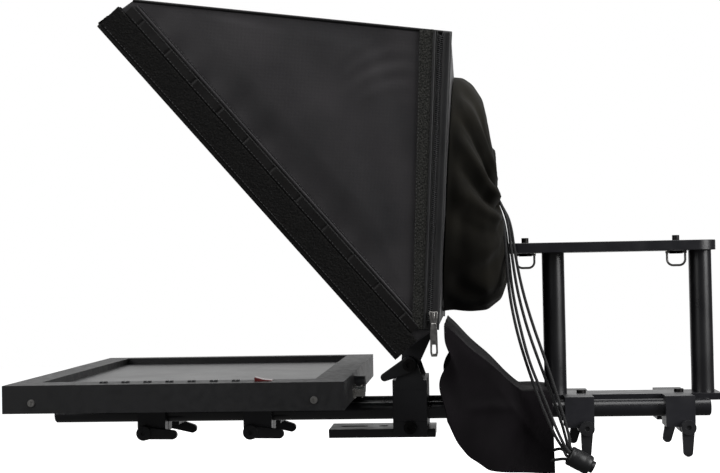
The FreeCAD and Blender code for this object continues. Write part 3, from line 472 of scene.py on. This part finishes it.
def stitch_row(points_from, points_to, radius_mm, out_dir):
    """Sewn stitches: each is a short six-sided thread from one hole to the next, high in its middle and sunk at its
    ends."""
    points_from, points_to = np.asarray(points_from, float), np.asarray(points_to, float)
    stations = np.array([0.0, 0.2, 0.5, 0.8, 1.0])
    rise = np.array([-0.6, 0.5, 0.8, 0.5, -0.6]) * radius_mm * 1.3
    ahead = points_to - points_from
    ahead = ahead / np.linalg.norm(ahead, axis=1, keepdims=True)
    out_dir = np.asarray(out_dir, float) / np.linalg.norm(out_dir)
    across = np.cross(ahead, out_dir)
    middle = (points_from[:, None] + (points_to - points_from)[:, None] * stations[None, :, None]
              + rise[None, :, None] * out_dir)
    turn = np.arange(6) / 6 * 2 * math.pi
    ring = (np.cos(turn)[None, :, None] * across[:, None] + np.sin(turn)[None, :, None] * out_dir) * radius_mm
    girth = np.array([0.5, 1.0, 1.0, 1.0, 0.5])
    points = middle[:, :, None] + ring[:, None] * girth[None, :, None, None]
    n = len(points)
    base = (np.arange(n) * 30)[:, None]
    r, c = np.meshgrid(np.arange(4), np.arange(6), indexing="ij")
    quad = np.stack([r * 6 + c, r * 6 + (c + 1) % 6, (r + 1) * 6 + (c + 1) % 6, (r + 1) * 6 + c], -1).reshape(1, -1)
    quads = (base + quad).reshape(-1, 4)
    caps = np.concatenate([base + np.arange(5, -1, -1), base + 24 + np.arange(6)])
    return points.reshape(-1, 3), quads.tolist() + caps.tolist()


def sew(name, rows, body, radius_mm=0.28, out_dir=(0, -1, 0)):
    """Joins several rows of stitches into one piece. A row is its start, its end and the stitch length."""
    verts, faces, base = [], [], 0
    for start, end, pitch in rows:
        start, end = np.asarray(start, float), np.asarray(end, float)
        count = max(2, int(np.linalg.norm(end - start) / pitch))
        at = start + (end - start) * (np.arange(count) / count)[:, None]
        to = start + (end - start) * ((np.arange(count) + 0.78) / count)[:, None]
        points, quads = stitch_row(at, to, radius_mm, out_dir)
        verts.append(points)
        faces += [[v + base for v in face] for face in quads]
        base += len(points)
    mesh = bpy.data.meshes.new(name)
    mesh.from_pydata((np.concatenate(verts) * MM).tolist(), [], faces)
    return place_piece(name, mesh, thread_mat, body)


def on_side(xz, out, sign):
    """A point on a hood side from its place in the side view and its height off the cloth."""
    return np.array((xz[0], sign * (half_width(xz[1]) + out), xz[1]))


rear_length = float(np.hypot(*(REAR_TOP - REAR_FOOT)))
rear_up = (REAR_TOP - REAR_FOOT) / rear_length
rear_in = np.array((-rear_up[1], rear_up[0]))
for sign, label in ((-1, "near"), (1, "far")):
    steps = np.linspace(-1.5, SLOPE_LENGTH - 0.5, 640)
    hem = [(4.0, -2.6), (1.0, -2.6), (-0.4, -1.8), (-1.0, -0.6), (-0.6, 0.6), (0.4, 1.1), (1.6, 1.1), (2.6, 0.9)]
    points, flat = carried(hem, slope_up, slope_in, HOOD_FOOT, np.linspace(-1.5, SLOPE_LENGTH, 120), sign)
    place_piece("slope_hem_" + label, grid_mesh("slope hem", points, flat, flip=sign < 0), nylon_band, "hood",
                thick_mm=0.5)
    section = rounded(1.8, 22.6, -0.6, 1.7, 0.9, 34)
    tangle = fuzz.normal(0, 0.16, (640, len(section))) * (section[None, :, 1] > 1.0)
    tangle += 0.12 * np.sin(steps[:, None] / 9.0)
    points, flat = carried(section, slope_up, slope_in, HOOD_FOOT, steps, sign, tangle)
    place_piece("loop_tape_" + label, grid_mesh("loop tape", points, flat, flip=sign < 0), loop_pile, "hood")
    steps = np.linspace(6.0, SLOPE_LENGTH - 8, 620)
    section = rounded(22.4, 31.8, -0.5, 1.5, 1.2, 10)
    tack = np.zeros(len(steps))
    for k in range(11):
        tack += bell(steps, 22.0 + 31.0 * k, 0.9)
    tack = (tack[:, None] * -0.8 * (section[None, :, 1] > 0) + 0.15 * np.sin(steps / 5.2)[:, None]
            * bell(section[None, :, 0], 27, 4))
    points, flat = carried(section, slope_up, slope_in, HOOD_FOOT, steps, sign, tack)
    place_piece("binding_" + label, grid_mesh("binding", points, flat, flip=sign < 0), nylon_band, "hood")
    section = rounded(32.4, 34.6, -0.8, 0.7, 0.8, 3)
    points, flat = carried(section, slope_up, slope_in, HOOD_FOOT, np.linspace(12.0, SLOPE_LENGTH - 10, 200), sign)
    place_piece("seam_fold_" + label, grid_mesh("seam fold", points, flat, flip=sign < 0), nylon, "hood")
    seams = []
    for inset, out, low, high in ((24.0, 1.45, 10, 340), (31.0, 1.3, 10, 343), (35.6, -0.2, 14, 343),
                                  (3.4, 1.8, 2, 350)):
        seams.append((on_side(HOOD_FOOT + slope_up * low + slope_in * inset, out, sign),
                      on_side(HOOD_FOOT + slope_up * high + slope_in * inset, out, sign), 3.2))
    for inset, out, low in ((13.4, 1.0, 6.0), (23.4, 1.0, 12.0)):
        seams.append((on_side(REAR_FOOT + rear_up * low + rear_in * inset * 0.84, out, sign),
                      on_side(REAR_FOOT + rear_up * (rear_length - 3) + rear_in * inset, out, sign), 2.8))
    sew("edge_stitching_" + label, seams, "hood", 0.3, (0, sign, 0))

    steps = np.linspace(-2.0, rear_length + 3.0, 420)
    hem = [(5.6, -0.4), (5.2, 0.9), (4.6, 1.3), (2.4, 1.35), (0.8, 1.3), (-0.2, 1.0), (-0.9, 0.2), (-1.0, -1.2),
           (-0.4, -2.4),
           (1.0, -2.8)]
    points, flat = carried(hem, rear_up, rear_in, REAR_FOOT, steps[::3], sign, narrow=0.16)
    place_piece("zipper_outer_tape_" + label, grid_mesh("zipper outer tape", points, flat, flip=sign > 0), tape_satin,
                "hood", thick_mm=0.5)
    section = rounded(9.6, 10.9, -0.6, 1.2, 0.5, 2)
    points, flat = carried(section, rear_up, rear_in, REAR_FOOT, steps[::3], sign, narrow=0.16)
    place_piece("zipper_inner_tape_" + label, grid_mesh("zipper inner tape", points, flat, flip=sign > 0), tape_satin,
                "hood")
    section = [(10.8 + 1.5 * (1 - math.cos(a)), 0.2 + 1.9 * math.sin(a)) for a in np.linspace(0, math.pi, 9)]
    points, flat = carried(section, rear_up, rear_in, REAR_FOOT, steps[::3], sign, narrow=0.16)
    place_piece("piping_" + label, grid_mesh("piping", points, flat, flip=sign > 0), tape_satin, "hood")
    section = rounded(13.0, 24.2, -0.7, 1.0, 0.7, 26)
    tangle = fuzz.normal(0, 0.13, (420, len(section))) * (section[None, :, 1] > 0.5)
    tangle += 0.14 * np.sin(steps[:, None] * 2.1 + section[None, :, 0] * 1.4) * (section[None, :, 1] > 0.5)
    points, flat = carried(section, rear_up, rear_in, REAR_FOOT, steps, sign, tangle, 0.16)
    place_piece("hook_band_" + label, grid_mesh("hook band", points, flat, flip=sign > 0), hook_pile, "hood")


def coil_teeth(sign, shift, lean):
    """One row of a nylon zipper coil: small ovals, one each 1.6 mm, that lean towards the other row."""
    at = np.arange(4.0, rear_length - 1.0, 1.6) + shift
    turn = np.arange(8) / 8 * 2 * math.pi
    across = np.array([-1.5, -1.1, 0.0, 1.1, 1.5])
    girth = np.array([0.25, 0.8, 1.0, 0.8, 0.25])
    width = 1 - 0.16 * (1 - np.clip(at / rear_length, 0, 1))[:, None, None]
    inset = (7.6 + lean) * width + across[None, :, None] * np.ones((len(at), 1, 8))
    step = at[:, None, None] + across[None, :, None] * lean * 0.4 + girth[None, :, None] * 0.62 * np.cos(turn)
    out = 0.9 + girth[None, :, None] * 0.85 * np.sin(turn) + 0 * at[:, None, None]
    x = REAR_FOOT[0] + rear_up[0] * step + rear_in[0] * inset
    z = REAR_FOOT[1] + rear_up[1] * step + rear_in[1] * inset
    points = np.stack([x, sign * (half_width(z) + out), z], -1).reshape(-1, 3)
    base = (np.arange(len(at)) * 40)[:, None]
    r, c = np.meshgrid(np.arange(4), np.arange(8), indexing="ij")
    quad = np.stack([r * 8 + c, r * 8 + (c + 1) % 8, (r + 1) * 8 + (c + 1) % 8, (r + 1) * 8 + c], -1).reshape(1, -1)
    caps = np.concatenate([base + np.arange(7, -1, -1), base + 32 + np.arange(8)])
    return points, (base + quad).reshape(-1, 4).tolist() + caps.tolist()


for sign, label in ((-1, "near"), (1, "far")):
    verts, faces = [], []
    for shift, lean in ((0.0, -0.7), (0.8, 0.7)):
        points, row = coil_teeth(sign, shift, lean)
        faces += [[v + sum(len(p) for p in verts) for v in face] for face in row]
        verts.append(points)
    mesh = bpy.data.meshes.new("zipper coil")
    mesh.from_pydata((np.concatenate(verts) * MM).tolist(), [], faces)
    if sign < 0:
        mesh.flip_normals()
    place_piece("zipper_coil_" + label, mesh, moulded, "hood")

    rim = np.linspace(0, 1, 160)[:, None]
    line = FLAP_TOP + (REAR_TOP + (0, 1.0) - FLAP_TOP) * rim
    turn = np.linspace(0, 2 * math.pi, 11)[:-1]
    x = line[:, :1] + 0 * turn
    z = line[:, 1:] + 1.3 * np.sin(turn)
    y = sign * (half_width(line[:, 1:]) - 0.8 + 1.3 * np.cos(turn))
    points = np.stack([x, y, z], -1)
    flat = np.stack([rim * 250 + 0 * np.arange(11), rim * 0 + np.arange(11) * 0.8], -1)
    place_piece("top_piping_" + label, grid_mesh("top piping", points, flat, closed=True, flip=sign < 0), nylon_band,
                "hood")


# The front flap's own loop tape runs across the hood, from one side's tape to the other's.
across_steps = np.linspace(-1, 1, 380)[:, None]
section = rounded(1.0, 24.0, -0.4, 1.6, 0.9, 22)
face_line = (FLAP_TOP - FRONT_TOP) / np.hypot(*(FLAP_TOP - FRONT_TOP))
face_out = np.array((-face_line[1], face_line[0]))
tangle = fuzz.normal(0, 0.16, (380, len(section))) * (section[None, :, 1] > 1.0)
x = FRONT_TOP[0] + face_line[0] * section[None, :, 0] + face_out[0] * (section[None, :, 1] + tangle)
z = FRONT_TOP[1] + face_line[1] * section[None, :, 0] + face_out[1] * (section[None, :, 1] + tangle)
points = np.stack([x, across_steps * (half_width(z) + 0.6), z], -1)
flat = np.stack([np.broadcast_to(section[None, :, 0], x.shape), points[..., 1]], -1)
place_piece("loop_tape_front", grid_mesh("front loop tape", points, flat, flip=True), loop_pile, "hood")


# ------------------------------------------------------------------ zipper slider
# A die cast slider with a stamped pull that hangs from its bail, both dull nickel.
def pull_and_slider():
    """A rounded slider body, a bail and a flat pull with a slot: each is a box of rounded corners, scaled and set."""
    work = bmesh.new()
    x0, z0 = REAR_FOOT[0] - 3.0, REAR_FOOT[1] + 8.0
    y0 = -half_width(z0) - 1.2
    for centre, size, taper in (((x0, y0 - 1.6, z0), (7.0, 2.6, 9.5), 0.75),
                                ((x0, y0 - 3.1, z0 + 0.5), (2.2, 1.8, 7.0), 0.6)):
        made = bmesh.ops.create_cube(work, size=1.0)["verts"]
        for v in made:
            squeeze = 1.0 if v.co.z > 0 else taper
            v.co = Vector((v.co.x * size[0] * squeeze, v.co.y * size[1], v.co.z * size[2])) + Vector(centre)
    outer = [(-2.2, -4.5), (2.2, -4.5), (2.9, -12), (3.1, -28), (2.2, -31), (-2.2, -31), (-3.1, -28), (-2.9, -12)]
    inner = [(-1.3, -21.5), (1.3, -21.5), (1.5, -23), (1.6, -27), (1.2, -28.6), (-1.2, -28.6), (-1.6, -27), (-1.5, -23)]
    rings = []
    for dy in (-2.6, -3.9):
        for ring in (outer, inner):
            rings.append([work.verts.new((x0 + px, y0 + dy, z0 + pz)) for px, pz in ring])
    for a, b in ((0, 1), (3, 2), (2, 0), (1, 3)):
        for k in range(8):
            work.faces.new((rings[a][k], rings[a][(k + 1) % 8], rings[b][(k + 1) % 8], rings[b][k]))
    bmesh.ops.recalc_face_normals(work, faces=work.faces)
    bmesh.ops.scale(work, vec=(MM, MM, MM), verts=work.verts)
    mesh = bpy.data.meshes.new("zipper slider")
    work.to_mesh(mesh)
    work.free()
    return mesh


slider = place_piece("zipper_pull", pull_and_slider(), nickel, "zipper_slider", ("zipper_slider",))
slider.data.set_sharp_from_angle(angle=math.radians(40))
soften = slider.modifiers.new("cast edges", "BEVEL")
soften.width, soften.segments, soften.angle_limit = 0.35 * MM, 2, math.radians(35)


# ------------------------------------------------------------------ lens sock
# A soft cotton bag sewn to the rear panel. Its slack cloth hangs in loose upright folds and is
# gathered in small pleats by the drawstring where it closes round the lens.
cotton = woven("brushed black cotton", ("13120f", "1e1c17"), 1.3, 0.9, 0.08, 0.04, 0.3, 0.14)


def sock_grid(rows=120, cols=320):
    """Each station along the bag is a leaning ellipse: its top and its bottom follow two smooth lines in the side
    view, and its half width a third."""
    s = np.linspace(0, 1, rows)[:, None]
    turn = np.linspace(0, 2 * math.pi, cols + 1)[:-1][None, :]
    knots = np.array([0.0, 0.12, 0.26, 0.42, 0.58, 0.72, 0.86, 0.95, 1.0])

    def curve(values):
        fine = np.interp(np.linspace(-0.1, 1.1, 240), knots, values)
        kernel = np.hanning(23) / np.hanning(23).sum()
        return np.interp(s, np.linspace(-0.1, 1.1, 240)[11:-11], np.convolve(fine, kernel, "valid"))
    top_x = curve([69.5, 77.0, 86.0, 94.5, 98.0, 99.0, 101.5, 106.0, 101.0])
    top_z = curve([321.0, 320.5, 313.0, 300.0, 284.0, 268.0, 257.0, 253.5, 250.0])
    low_x = curve([55.5, 66.0, 80.0, 96.0, 108.0, 113.5, 112.0, 106.5, 102.0])
    low_z = curve([112.0, 113.0, 112.5, 113.0, 122.0, 138.0, 154.0, 172.0, 176.0])
    half = curve([97.0, 97.0, 95.0, 89.0, 78.0, 66.0, 52.0, 42.0, 38.5])
    up = np.sin(turn)
    x = (top_x + low_x) / 2 + (top_x - low_x) / 2 * up
    side = np.cos(turn) ** 2
    loose = ease(s, 0.02, 0.2) * (1 - ease(s, 0.84, 0.97))
    # Long folds run from the seam to the mouth and close up as they reach it, alike on both sides.
    rise = np.degrees(np.arcsin(np.clip(np.sin(turn), -1, 1)))
    lines = ((74, 40, 5.0, 2.2), (58, 30, 4.5, -2.6), (46, 21, 4.0, 3.4), (33, 13, 3.5, -3.4), (21, 5, 4.0, 3.8),
             (8, -2, 4.5, -3.6), (-6, -8, 4.0, 3.0), (-17, -13, 5.0, -2.2), (-33, -20, 6.0, 2.2), (-50, -27, 7.0, -1.8))
    hang = 0 * rise * s
    for start, end, spread, size in lines:
        line = start + (end - start) * ease(s, 0.05, 0.95) + 3.0 * np.sin(5 * s + start)
        hang = hang + size * bell(rise, line, spread * (1.25 - 0.7 * s)) * (0.35 + 0.65 * np.sin(math.pi * s) ** 0.6)
    hang = hang / 2.6
    swing = turn + 0.55 * np.cos(turn) * s
    hang2 = np.sin(11 * swing + 2.2 * np.sin(3 * swing) - 4 * s)
    drape = 2.6 * np.sin(2 * math.pi * (2.1 * s + 0.42 * np.sin(turn * 2 + 0.6) + 0.16 * np.sin(5 * turn + 1)))
    drape = drape * (0.3 + 0.7 * side)
    pocket = -5.5 * bell(s, 0.47 + 0.05 * np.sin(3 * turn), 0.11) * bell(np.sin(turn), 0.15, 0.45) * side
    folds = (4.6 * hang * (0.3 + 0.7 * side) + 0.8 * hang2 + 0.7 * drape + pocket) * loose
    pleats = ((2.0 * np.abs(np.sin(15 * turn + 0.9 * np.sin(3 * turn))) - 1.1) * ease(s, 0.7, 0.95)
              * (1 - 0.4 * ease(s, 0.96, 1)))
    r = folds * 0.9 + pleats
    zc, b = (top_z + low_z) / 2, (top_z - low_z) / 2
    y = (half + r) * np.cos(turn)
    z = zc + (b + np.minimum(r, 2.0)) * up
    x = x + 0.5 * folds * (0.3 + 0.7 * side)
    flat = np.stack([np.linspace(0, 600, cols + 1)[None, :] + 0 * s, s * 120 + 0 * np.linspace(0, 1, cols + 1)], -1)
    return np.stack([x, y, z], -1), flat


points, flat = sock_grid()
sock = place_piece("lens_sock_bag", grid_mesh("lens sock", points, flat, closed=True, flip=False), cotton, "hood",
                   ("lens_sock",), 0.9)


# ------------------------------------------------------------------ skirt
# One piece of the hood's nylon hung from under the hood's rear foot over the rods. It closes the
# gap below the hood: a pitched roof that runs down to the riser, with a curtain at each side.
skirt_cloth = woven("soft black nylon", ("0d0b0d", "141114"), 1.2, 0.75, 0.06, 0.01, 0.2, 0.08)


def skirt_grid(rows=160, cols=300):
    """Rows run from the hood to the riser and columns from hem to hem over the top; five numbers for each row are
    smooth lines through a few stations."""
    s = np.linspace(0, 1, rows)[:, None]
    v = np.linspace(-1, 1, cols)[None, :]
    knots = np.array([0.0, 0.1, 0.22, 0.4, 0.6, 0.75, 1.0])

    def curve(values, width=19):
        fine = np.interp(np.linspace(-0.1, 1.1, 240), knots, values)
        kernel = np.hanning(width) / np.hanning(width).sum()
        half = width // 2
        return np.interp(s, np.linspace(-0.1, 1.1, 240)[half:-half], np.convolve(fine, kernel, "valid"))
    x = curve([58.5, 67.0, 77.5, 93.0, 110.5, 124.0, 150.5])
    shoulder_y = curve([113.0, 105.0, 95.0, 80.5, 63.0, 51.0, 48.0], 7)
    shoulder_z = curve([103.5, 96.5, 86.5, 72.0, 55.5, 44.0, 41.5], 7)
    hem_y = curve([103.0, 93.0, 80.0, 68.0, 61.0, 60.0, 62.0])
    hem_z = curve([24.0, 5.0, -11.0, -23.0, -26.5, -27.0, -27.0])
    side = np.clip((np.abs(v) - 0.42) / 0.58, 0, 1)
    roof = 1 - np.clip(np.abs(v) / 0.42, 0, 1)
    over = np.abs(v) < 0.42
    y = np.where(over, shoulder_y * np.abs(v) / 0.42, shoulder_y + (hem_y - shoulder_y) * side)
    z = np.where(over, shoulder_z + 0 * roof, shoulder_z + (hem_z - shoulder_z) * side)
    corner = np.exp(-(np.abs(v) - 0.42) ** 2 / 0.0015)
    # A slack valley runs down from the roof's foot, and softer waves fan out from the rods.
    valley = -3.4 * bell(x - 0.62 * (z - 5), 128.0, 11.0) * ease(side, 0.15, 0.6)
    diagonal = 1.5 * bell(x + 0.68 * (z - 75), 86.0, 5.0) * ease(side, 0.05, 0.3) * (1 - ease(side, 0.5, 0.8))
    rod_line = 1.4 * bell(z + 0.05 * (x - 90), 31.0, 5.0) * ease(x, 68, 84) * (1 - ease(x, 106, 128)) * (side > 0)
    waves = ((1.5 * np.sin((x + 0.5 * z) / 10.5 + 0.8 * np.sin(z / 28)) + 0.6 * np.sin((x - 0.4 * z) / 5.3 + 1.0))
             * ease(side, 0.05, 0.7))
    lift = (valley + diagonal + rod_line + waves) * np.where(over, 0, 1) * (0.4 + 0.6 * ease(s, 0.0, 0.3))
    y = y + lift
    dip = -3.0 * np.sin(math.pi * roof) * ease(s, 0.05, 0.3) * (1 - ease(s, 0.6, 0.85))
    ripple = 0.7 * np.sin(x / 7.5 + 1.5 * np.sin(y / 31)) * (1 - side)
    z = z + dip + ripple - corner * 1.2
    y = y - corner * 1.4
    edge = (1 - ease(s, 0.0, 0.16)) * ease(side, 0.1, 0.45)
    sway = 6.5 * bell(side, 0.3, 0.16) - 5.5 * bell(side, 0.62, 0.2) + 0.5 * side
    x = x + 0 * v + sway * edge
    y = y + edge * 3.0 * np.sin(side * 9)
    hem = 0.5 * np.sin(x / 6.0) * ease(side, 0.9, 1.0)
    flat = np.stack([x + 0 * v, v * 165 + 0 * s], -1)
    return np.stack([x, np.sign(v) * y, z + hem], -1), flat


points, flat = skirt_grid()
skirt = place_piece("skirt_cloth", grid_mesh("skirt", points, flat, flip=False), skirt_cloth, "chassis",
                    ("skirt",), 0.9)


# ------------------------------------------------------------------ drawstring and cord lock
# Round braided elastic, 2.6 mm thick: four strands leave the sock's mouth and hang down past the
# skirt into a moulded cord lock, and the tail comes out as a small loop.
braid, tree, shader, place = start_material("braided elastic", IOR=1.48, Sheen_Weight=0.12, Roughness=0.7)
blotches(tree, place, 5, linear("101011"), linear("1c1c1d"), shader, "Base Color")
braid_map = add(tree, "UVMap", {"uv_map": "flat"}).outputs["UV"]
strand_height = []
for lean in (0.9, -0.9):
    turned = add(tree, "Mapping", sockets={"Vector": braid_map, "Rotation": (0, 0, lean)})
    wave = add(tree, "TexWave", {"wave_type": "BANDS", "bands_direction": "X"},
               {"Vector": turned.outputs["Vector"], "Scale": 220.0})
    strand_height.append(wave.outputs["Fac"])
crossed = add(tree, "Math", {"operation": "MAXIMUM"}, {0: strand_height[0], 1: strand_height[1]})
raise_surface(tree, shader, crossed.outputs["Value"], 0.25)
CORD_MM = 2.6


def smooth_route(points_mm):
    """Points along a smooth NURBS line that has the given points as its controls."""
    line = bpy.data.curves.new("route", "CURVE")
    line.dimensions = "3D"
    spline = line.splines.new("NURBS")
    spline.points.add(len(points_mm) - 1)
    spline.points.foreach_set("co",
                              np.concatenate([np.asarray(points_mm) * MM, np.ones((len(points_mm), 1))], 1).ravel())
    spline.order_u = 3
    spline.use_endpoint_u = True
    spline.resolution_u = 10
    holder = bpy.data.objects.new("route", line)
    bpy.context.scene.collection.objects.link(holder)
    bpy.context.view_layer.update()
    shape = bpy.data.meshes.new_from_object(holder)
    route = np.zeros(len(shape.vertices) * 3)
    shape.vertices.foreach_get("co", route)
    bpy.data.objects.remove(holder)
    bpy.data.meshes.remove(shape)
    return route.reshape(-1, 3)


def round_cord(name, points_mm, sides=14):
    """A tube round a route: each ring stands square to the line, and its frame is carried along without twist."""
    route = smooth_route(points_mm)
    ahead = np.gradient(route, axis=0)
    ahead /= np.linalg.norm(ahead, axis=1, keepdims=True)
    side_way = np.cross(ahead, (0.0, 0.62, 0.78))
    side_way /= np.linalg.norm(side_way, axis=1, keepdims=True)
    over = np.cross(ahead, side_way)
    turn = np.arange(sides) / sides * 2 * math.pi
    radius = CORD_MM / 2 * MM
    rings = route[:, None] + radius * (np.cos(turn)[None, :, None] * side_way[:, None]
                                       + np.sin(turn)[None, :, None] * over[:, None])
    run = np.concatenate([[0], np.cumsum(np.linalg.norm(np.diff(route, axis=0), axis=1))])[:, None] / MM
    flat = np.stack([run + 0 * np.arange(sides + 1), 0 * run + np.arange(sides + 1) / sides * math.pi * CORD_MM], -1)
    mesh = grid_mesh(name, rings / MM, flat, closed=True, flip=True)
    work = bmesh.new()
    work.from_mesh(mesh)
    work.verts.ensure_lookup_table()
    last = len(work.verts)
    work.faces.new([work.verts[k] for k in range(sides)])
    work.faces.new([work.verts[k] for k in range(last - 1, last - sides - 1, -1)])
    bmesh.ops.recalc_face_normals(work, faces=work.faces)
    work.to_mesh(mesh)
    work.free()
    return mesh, route


strands = {
    "front_1": ((104.5, -45.5, 208.0), (108.6, -47.5, 199.0), (111.0, -50.0, 186.0), (112.5, -52.5, 160.0),
                (114.0, -54.5, 128.0), (119.5, -57.5, 96.0), (127.0, -61.0, 68.0), (135.5, -64.0, 42.0),
                (145.0, -66.0, 17.0), (153.0, -67.5, -0.5), (160.4, -68.6, -8.7), (165.0, -68.2, -11.5)),
    "front_2": ((104.5, -41.0, 207.0), (108.6, -43.6, 198.0), (112.2, -46.2, 185.5), (114.5, -49.5, 160.0),
                (117.0, -52.0, 128.0), (123.0, -56.5, 97.0), (129.5, -64.5, 69.0), (139.5, -64.0, 43.0),
                (149.0, -66.5, 17.5), (156.0, -70.0, 0.5), (160.9, -71.6, -7.6), (165.5, -70.8, -11.0)),
    "back_1": ((104.8, -43.5, 213.0), (109.4, -46.0, 204.5), (114.6, -49.6, 190.0), (117.0, -51.5, 162.0),
               (121.0, -53.5, 130.0), (128.5, -56.0, 98.0), (138.0, -58.5, 69.0), (147.5, -60.5, 42.0),
               (156.0, -62.0, 17.0), (159.8, -63.5, 1.5), (161.4, -65.4, -6.7), (166.0, -66.0, -10.5)),
    "back_2": ((105.0, -39.0, 212.0), (109.8, -41.6, 203.5), (117.0, -45.5, 189.0), (120.0, -48.0, 162.0),
               (125.5, -50.5, 130.0), (134.0, -54.0, 99.0), (143.0, -61.5, 71.5), (151.5, -63.5, 44.0),
               (158.5, -66.0, 19.0), (162.5, -67.8, 3.0), (162.1, -68.6, -5.3), (166.5, -68.0, -10.0)),
}
covered = {"front_1": "drawstring_front", "front_2": "drawstring_front",
           "back_1": "drawstring_back", "back_2": "drawstring_back"}


for name, points_mm in strands.items():
    mesh, route = round_cord("drawstring " + name, points_mm)
    strand = place_piece("drawstring_" + name, mesh, braid, "chassis", (covered[name],))

bearing, tilt = math.radians(117.0), math.radians(60.0)
loop_ahead = np.array((math.cos(bearing), math.sin(bearing), 0))
loop_across = np.array((math.sin(bearing) * math.sin(tilt), -math.cos(bearing) * math.sin(tilt), math.cos(tilt)))
loop_plan = np.array(((-5.0, 1.6), (0.0, 2.0), (7.0, 5.4), (14.5, 8.8), (22.5, 9.2), (28.2, 3.7), (28.2, -3.7),
                      (22.5, -9.2), (14.5, -8.6), (7.0, -5.0), (0.0, -2.0), (-5.0, -1.6)))
tail_points = np.array((157.9, -65.8, -13.0)) + loop_plan[:, :1] * loop_ahead + loop_plan[:, 1:] * loop_across
mesh, route = round_cord("drawstring tail", tail_points)
tail = place_piece("drawstring_tail_loop", mesh, braid, "chassis", ("drawstring_tail",))


def cord_lock_barrel():
    """A turned barrel on a slanting axis: a section of (distance along, radius) pairs spun round it, open at the
    button's end."""
    a = math.radians(-28.0)
    axis = np.array((math.cos(a), 0, math.sin(a)))
    over = np.array((-axis[2], 0, axis[0]))
    start = np.array((159.0, -67.0, -9.5))
    section = np.array([(7.5, 5.9), (3.4, 6.2), (3.0, 6.9), (3.2, 7.9), (4.2, 8.4), (6.0, 8.5), (7.0, 8.2), (8.0, 8.5),
                        (15.5, 8.5),
                        (16.4, 8.2), (17.3, 8.5), (21.0, 8.5), (22.4, 8.0), (23.0, 7.0), (22.9, 5.9), (22.2, 5.5),
                        (15.2, 5.5)])
    turn = np.linspace(0, 2 * math.pi, 65)[:-1]
    ribs = (1 + 0.025 * np.cos(16 * turn)[None, :]
            * ((section[:, :1] > 8) & (section[:, :1] < 15.5) & (section[:, 1:] > 8)))
    r = section[:, 1:] * ribs
    return (start + section[:, :1, None] * axis + (r * np.cos(turn))[..., None] * np.array((0, 1, 0))
            + (r * np.sin(turn))[..., None] * over)


place_piece("cord_lock_barrel", grid_mesh("cord lock", cord_lock_barrel(), closed=True, flip=True), moulded,
            "chassis", ("cord_lock",))


# ------------------------------------------------------------------ studio and camera
# A round white floor under a world that shows white to the camera and gives only dim light, broad soft lights,
# and a camera low at the side of the rods, a little ahead of the lens end.
def studio_floor():
    """A round floor, a fan of triangles from its middle to a ring of points."""
    turn = np.arange(64) / 64 * 2 * math.pi
    ring = np.stack([6 * np.cos(turn), 6 * np.sin(turn), np.full(64, -0.32)], 1)
    mesh = bpy.data.meshes.new("studio floor")
    faces = [(64, k, (k + 1) % 64) for k in range(64)]
    mesh.from_pydata(ring.tolist() + [(0, 0, -0.32)], [], faces)
    floor = bpy.data.objects.new("studio_floor", mesh)
    bpy.context.scene.collection.objects.link(floor)
    return floor


floor = studio_floor()
paper, tree, shader, place = start_material("white studio paper", Roughness=0.9)
shader.inputs["Base Color"].default_value = (0.9, 0.9, 0.9, 1)
shader.inputs["Emission Color"].default_value = (1, 1, 1, 1)
shader.inputs["Emission Strength"].default_value = 1.0
floor.data.materials.append(paper)
floor.visible_diffuse = False
floor.visible_glossy = False


def soft_light(name, place_mm, aim_mm, size_m, watts, tint=(1, 1, 1)):
    """A square lamp that faces a point."""
    lamp = bpy.data.lights.new(name, "AREA")
    lamp.size = size_m
    lamp.energy = watts
    lamp.color = tint
    holder = bpy.data.objects.new(name, lamp)
    start, aim = Vector(place_mm) * MM, Vector(aim_mm) * MM
    turn = (start - aim).to_track_quat("Z", "Y").to_matrix().to_4x4()
    holder.matrix_world = Matrix.Translation(start) @ turn
    bpy.context.scene.collection.objects.link(holder)


soft_light("overhead", (-100, -200, 1500), (0, 0, 100), 1.6, 26)
soft_light("left front", (-1300, -1500, 900), (0, 0, 150), 1.2, 12)
soft_light("right side", (1500, -900, 700), (100, 0, 150), 1.0, 26)
soft_light("back wall", (0, 2600, 900), (0, 0, 150), 4.0, 34)
world = bpy.data.worlds.new("white room")
world.use_nodes = True
tree = world.node_tree
shown = tree.nodes["Background"]
shown.inputs["Color"].default_value = (1, 1, 1, 1)
dim = add(tree, "Background", sockets={"Color": (1, 1, 1, 1), "Strength": 0.1})
mix = add(tree, "MixShader", sockets={0: add(tree, "LightPath").outputs["Is Camera Ray"], 1: dim.outputs[0],
                                      2: shown.outputs[0]})
tree.links.new(mix.outputs[0], tree.nodes["World Output"].inputs["Surface"])
bpy.context.scene.world = world
bpy.context.scene.view_settings.view_transform = "Standard"

eye = Vector((78.4, -1284.3, 151.7)) * MM
yaw, pitch, roll = 0.075, 0.022, -0.019
ahead = Vector((-math.sin(yaw) * math.cos(pitch), math.cos(yaw) * math.cos(pitch), math.sin(pitch)))
right = Vector((math.cos(yaw), math.sin(yaw), 0))
up = right.cross(ahead)
right, up = math.cos(roll) * right + math.sin(roll) * up, math.cos(roll) * up - math.sin(roll) * right
lens = bpy.data.cameras.new("view")
lens.sensor_width = 36.0
lens.lens = 70.8
lens.clip_start = 0.05
camera = bpy.data.objects.new("view", lens)
camera.matrix_world = Matrix((
    (right.x, up.x, -ahead.x, eye.x),
    (right.y, up.y, -ahead.y, eye.y),
    (right.z, up.z, -ahead.z, eye.z),
    (0, 0, 0, 1)))
bpy.context.scene.collection.objects.link(camera)
bpy.context.scene.camera = camera

bpy.context.view_layer.update()
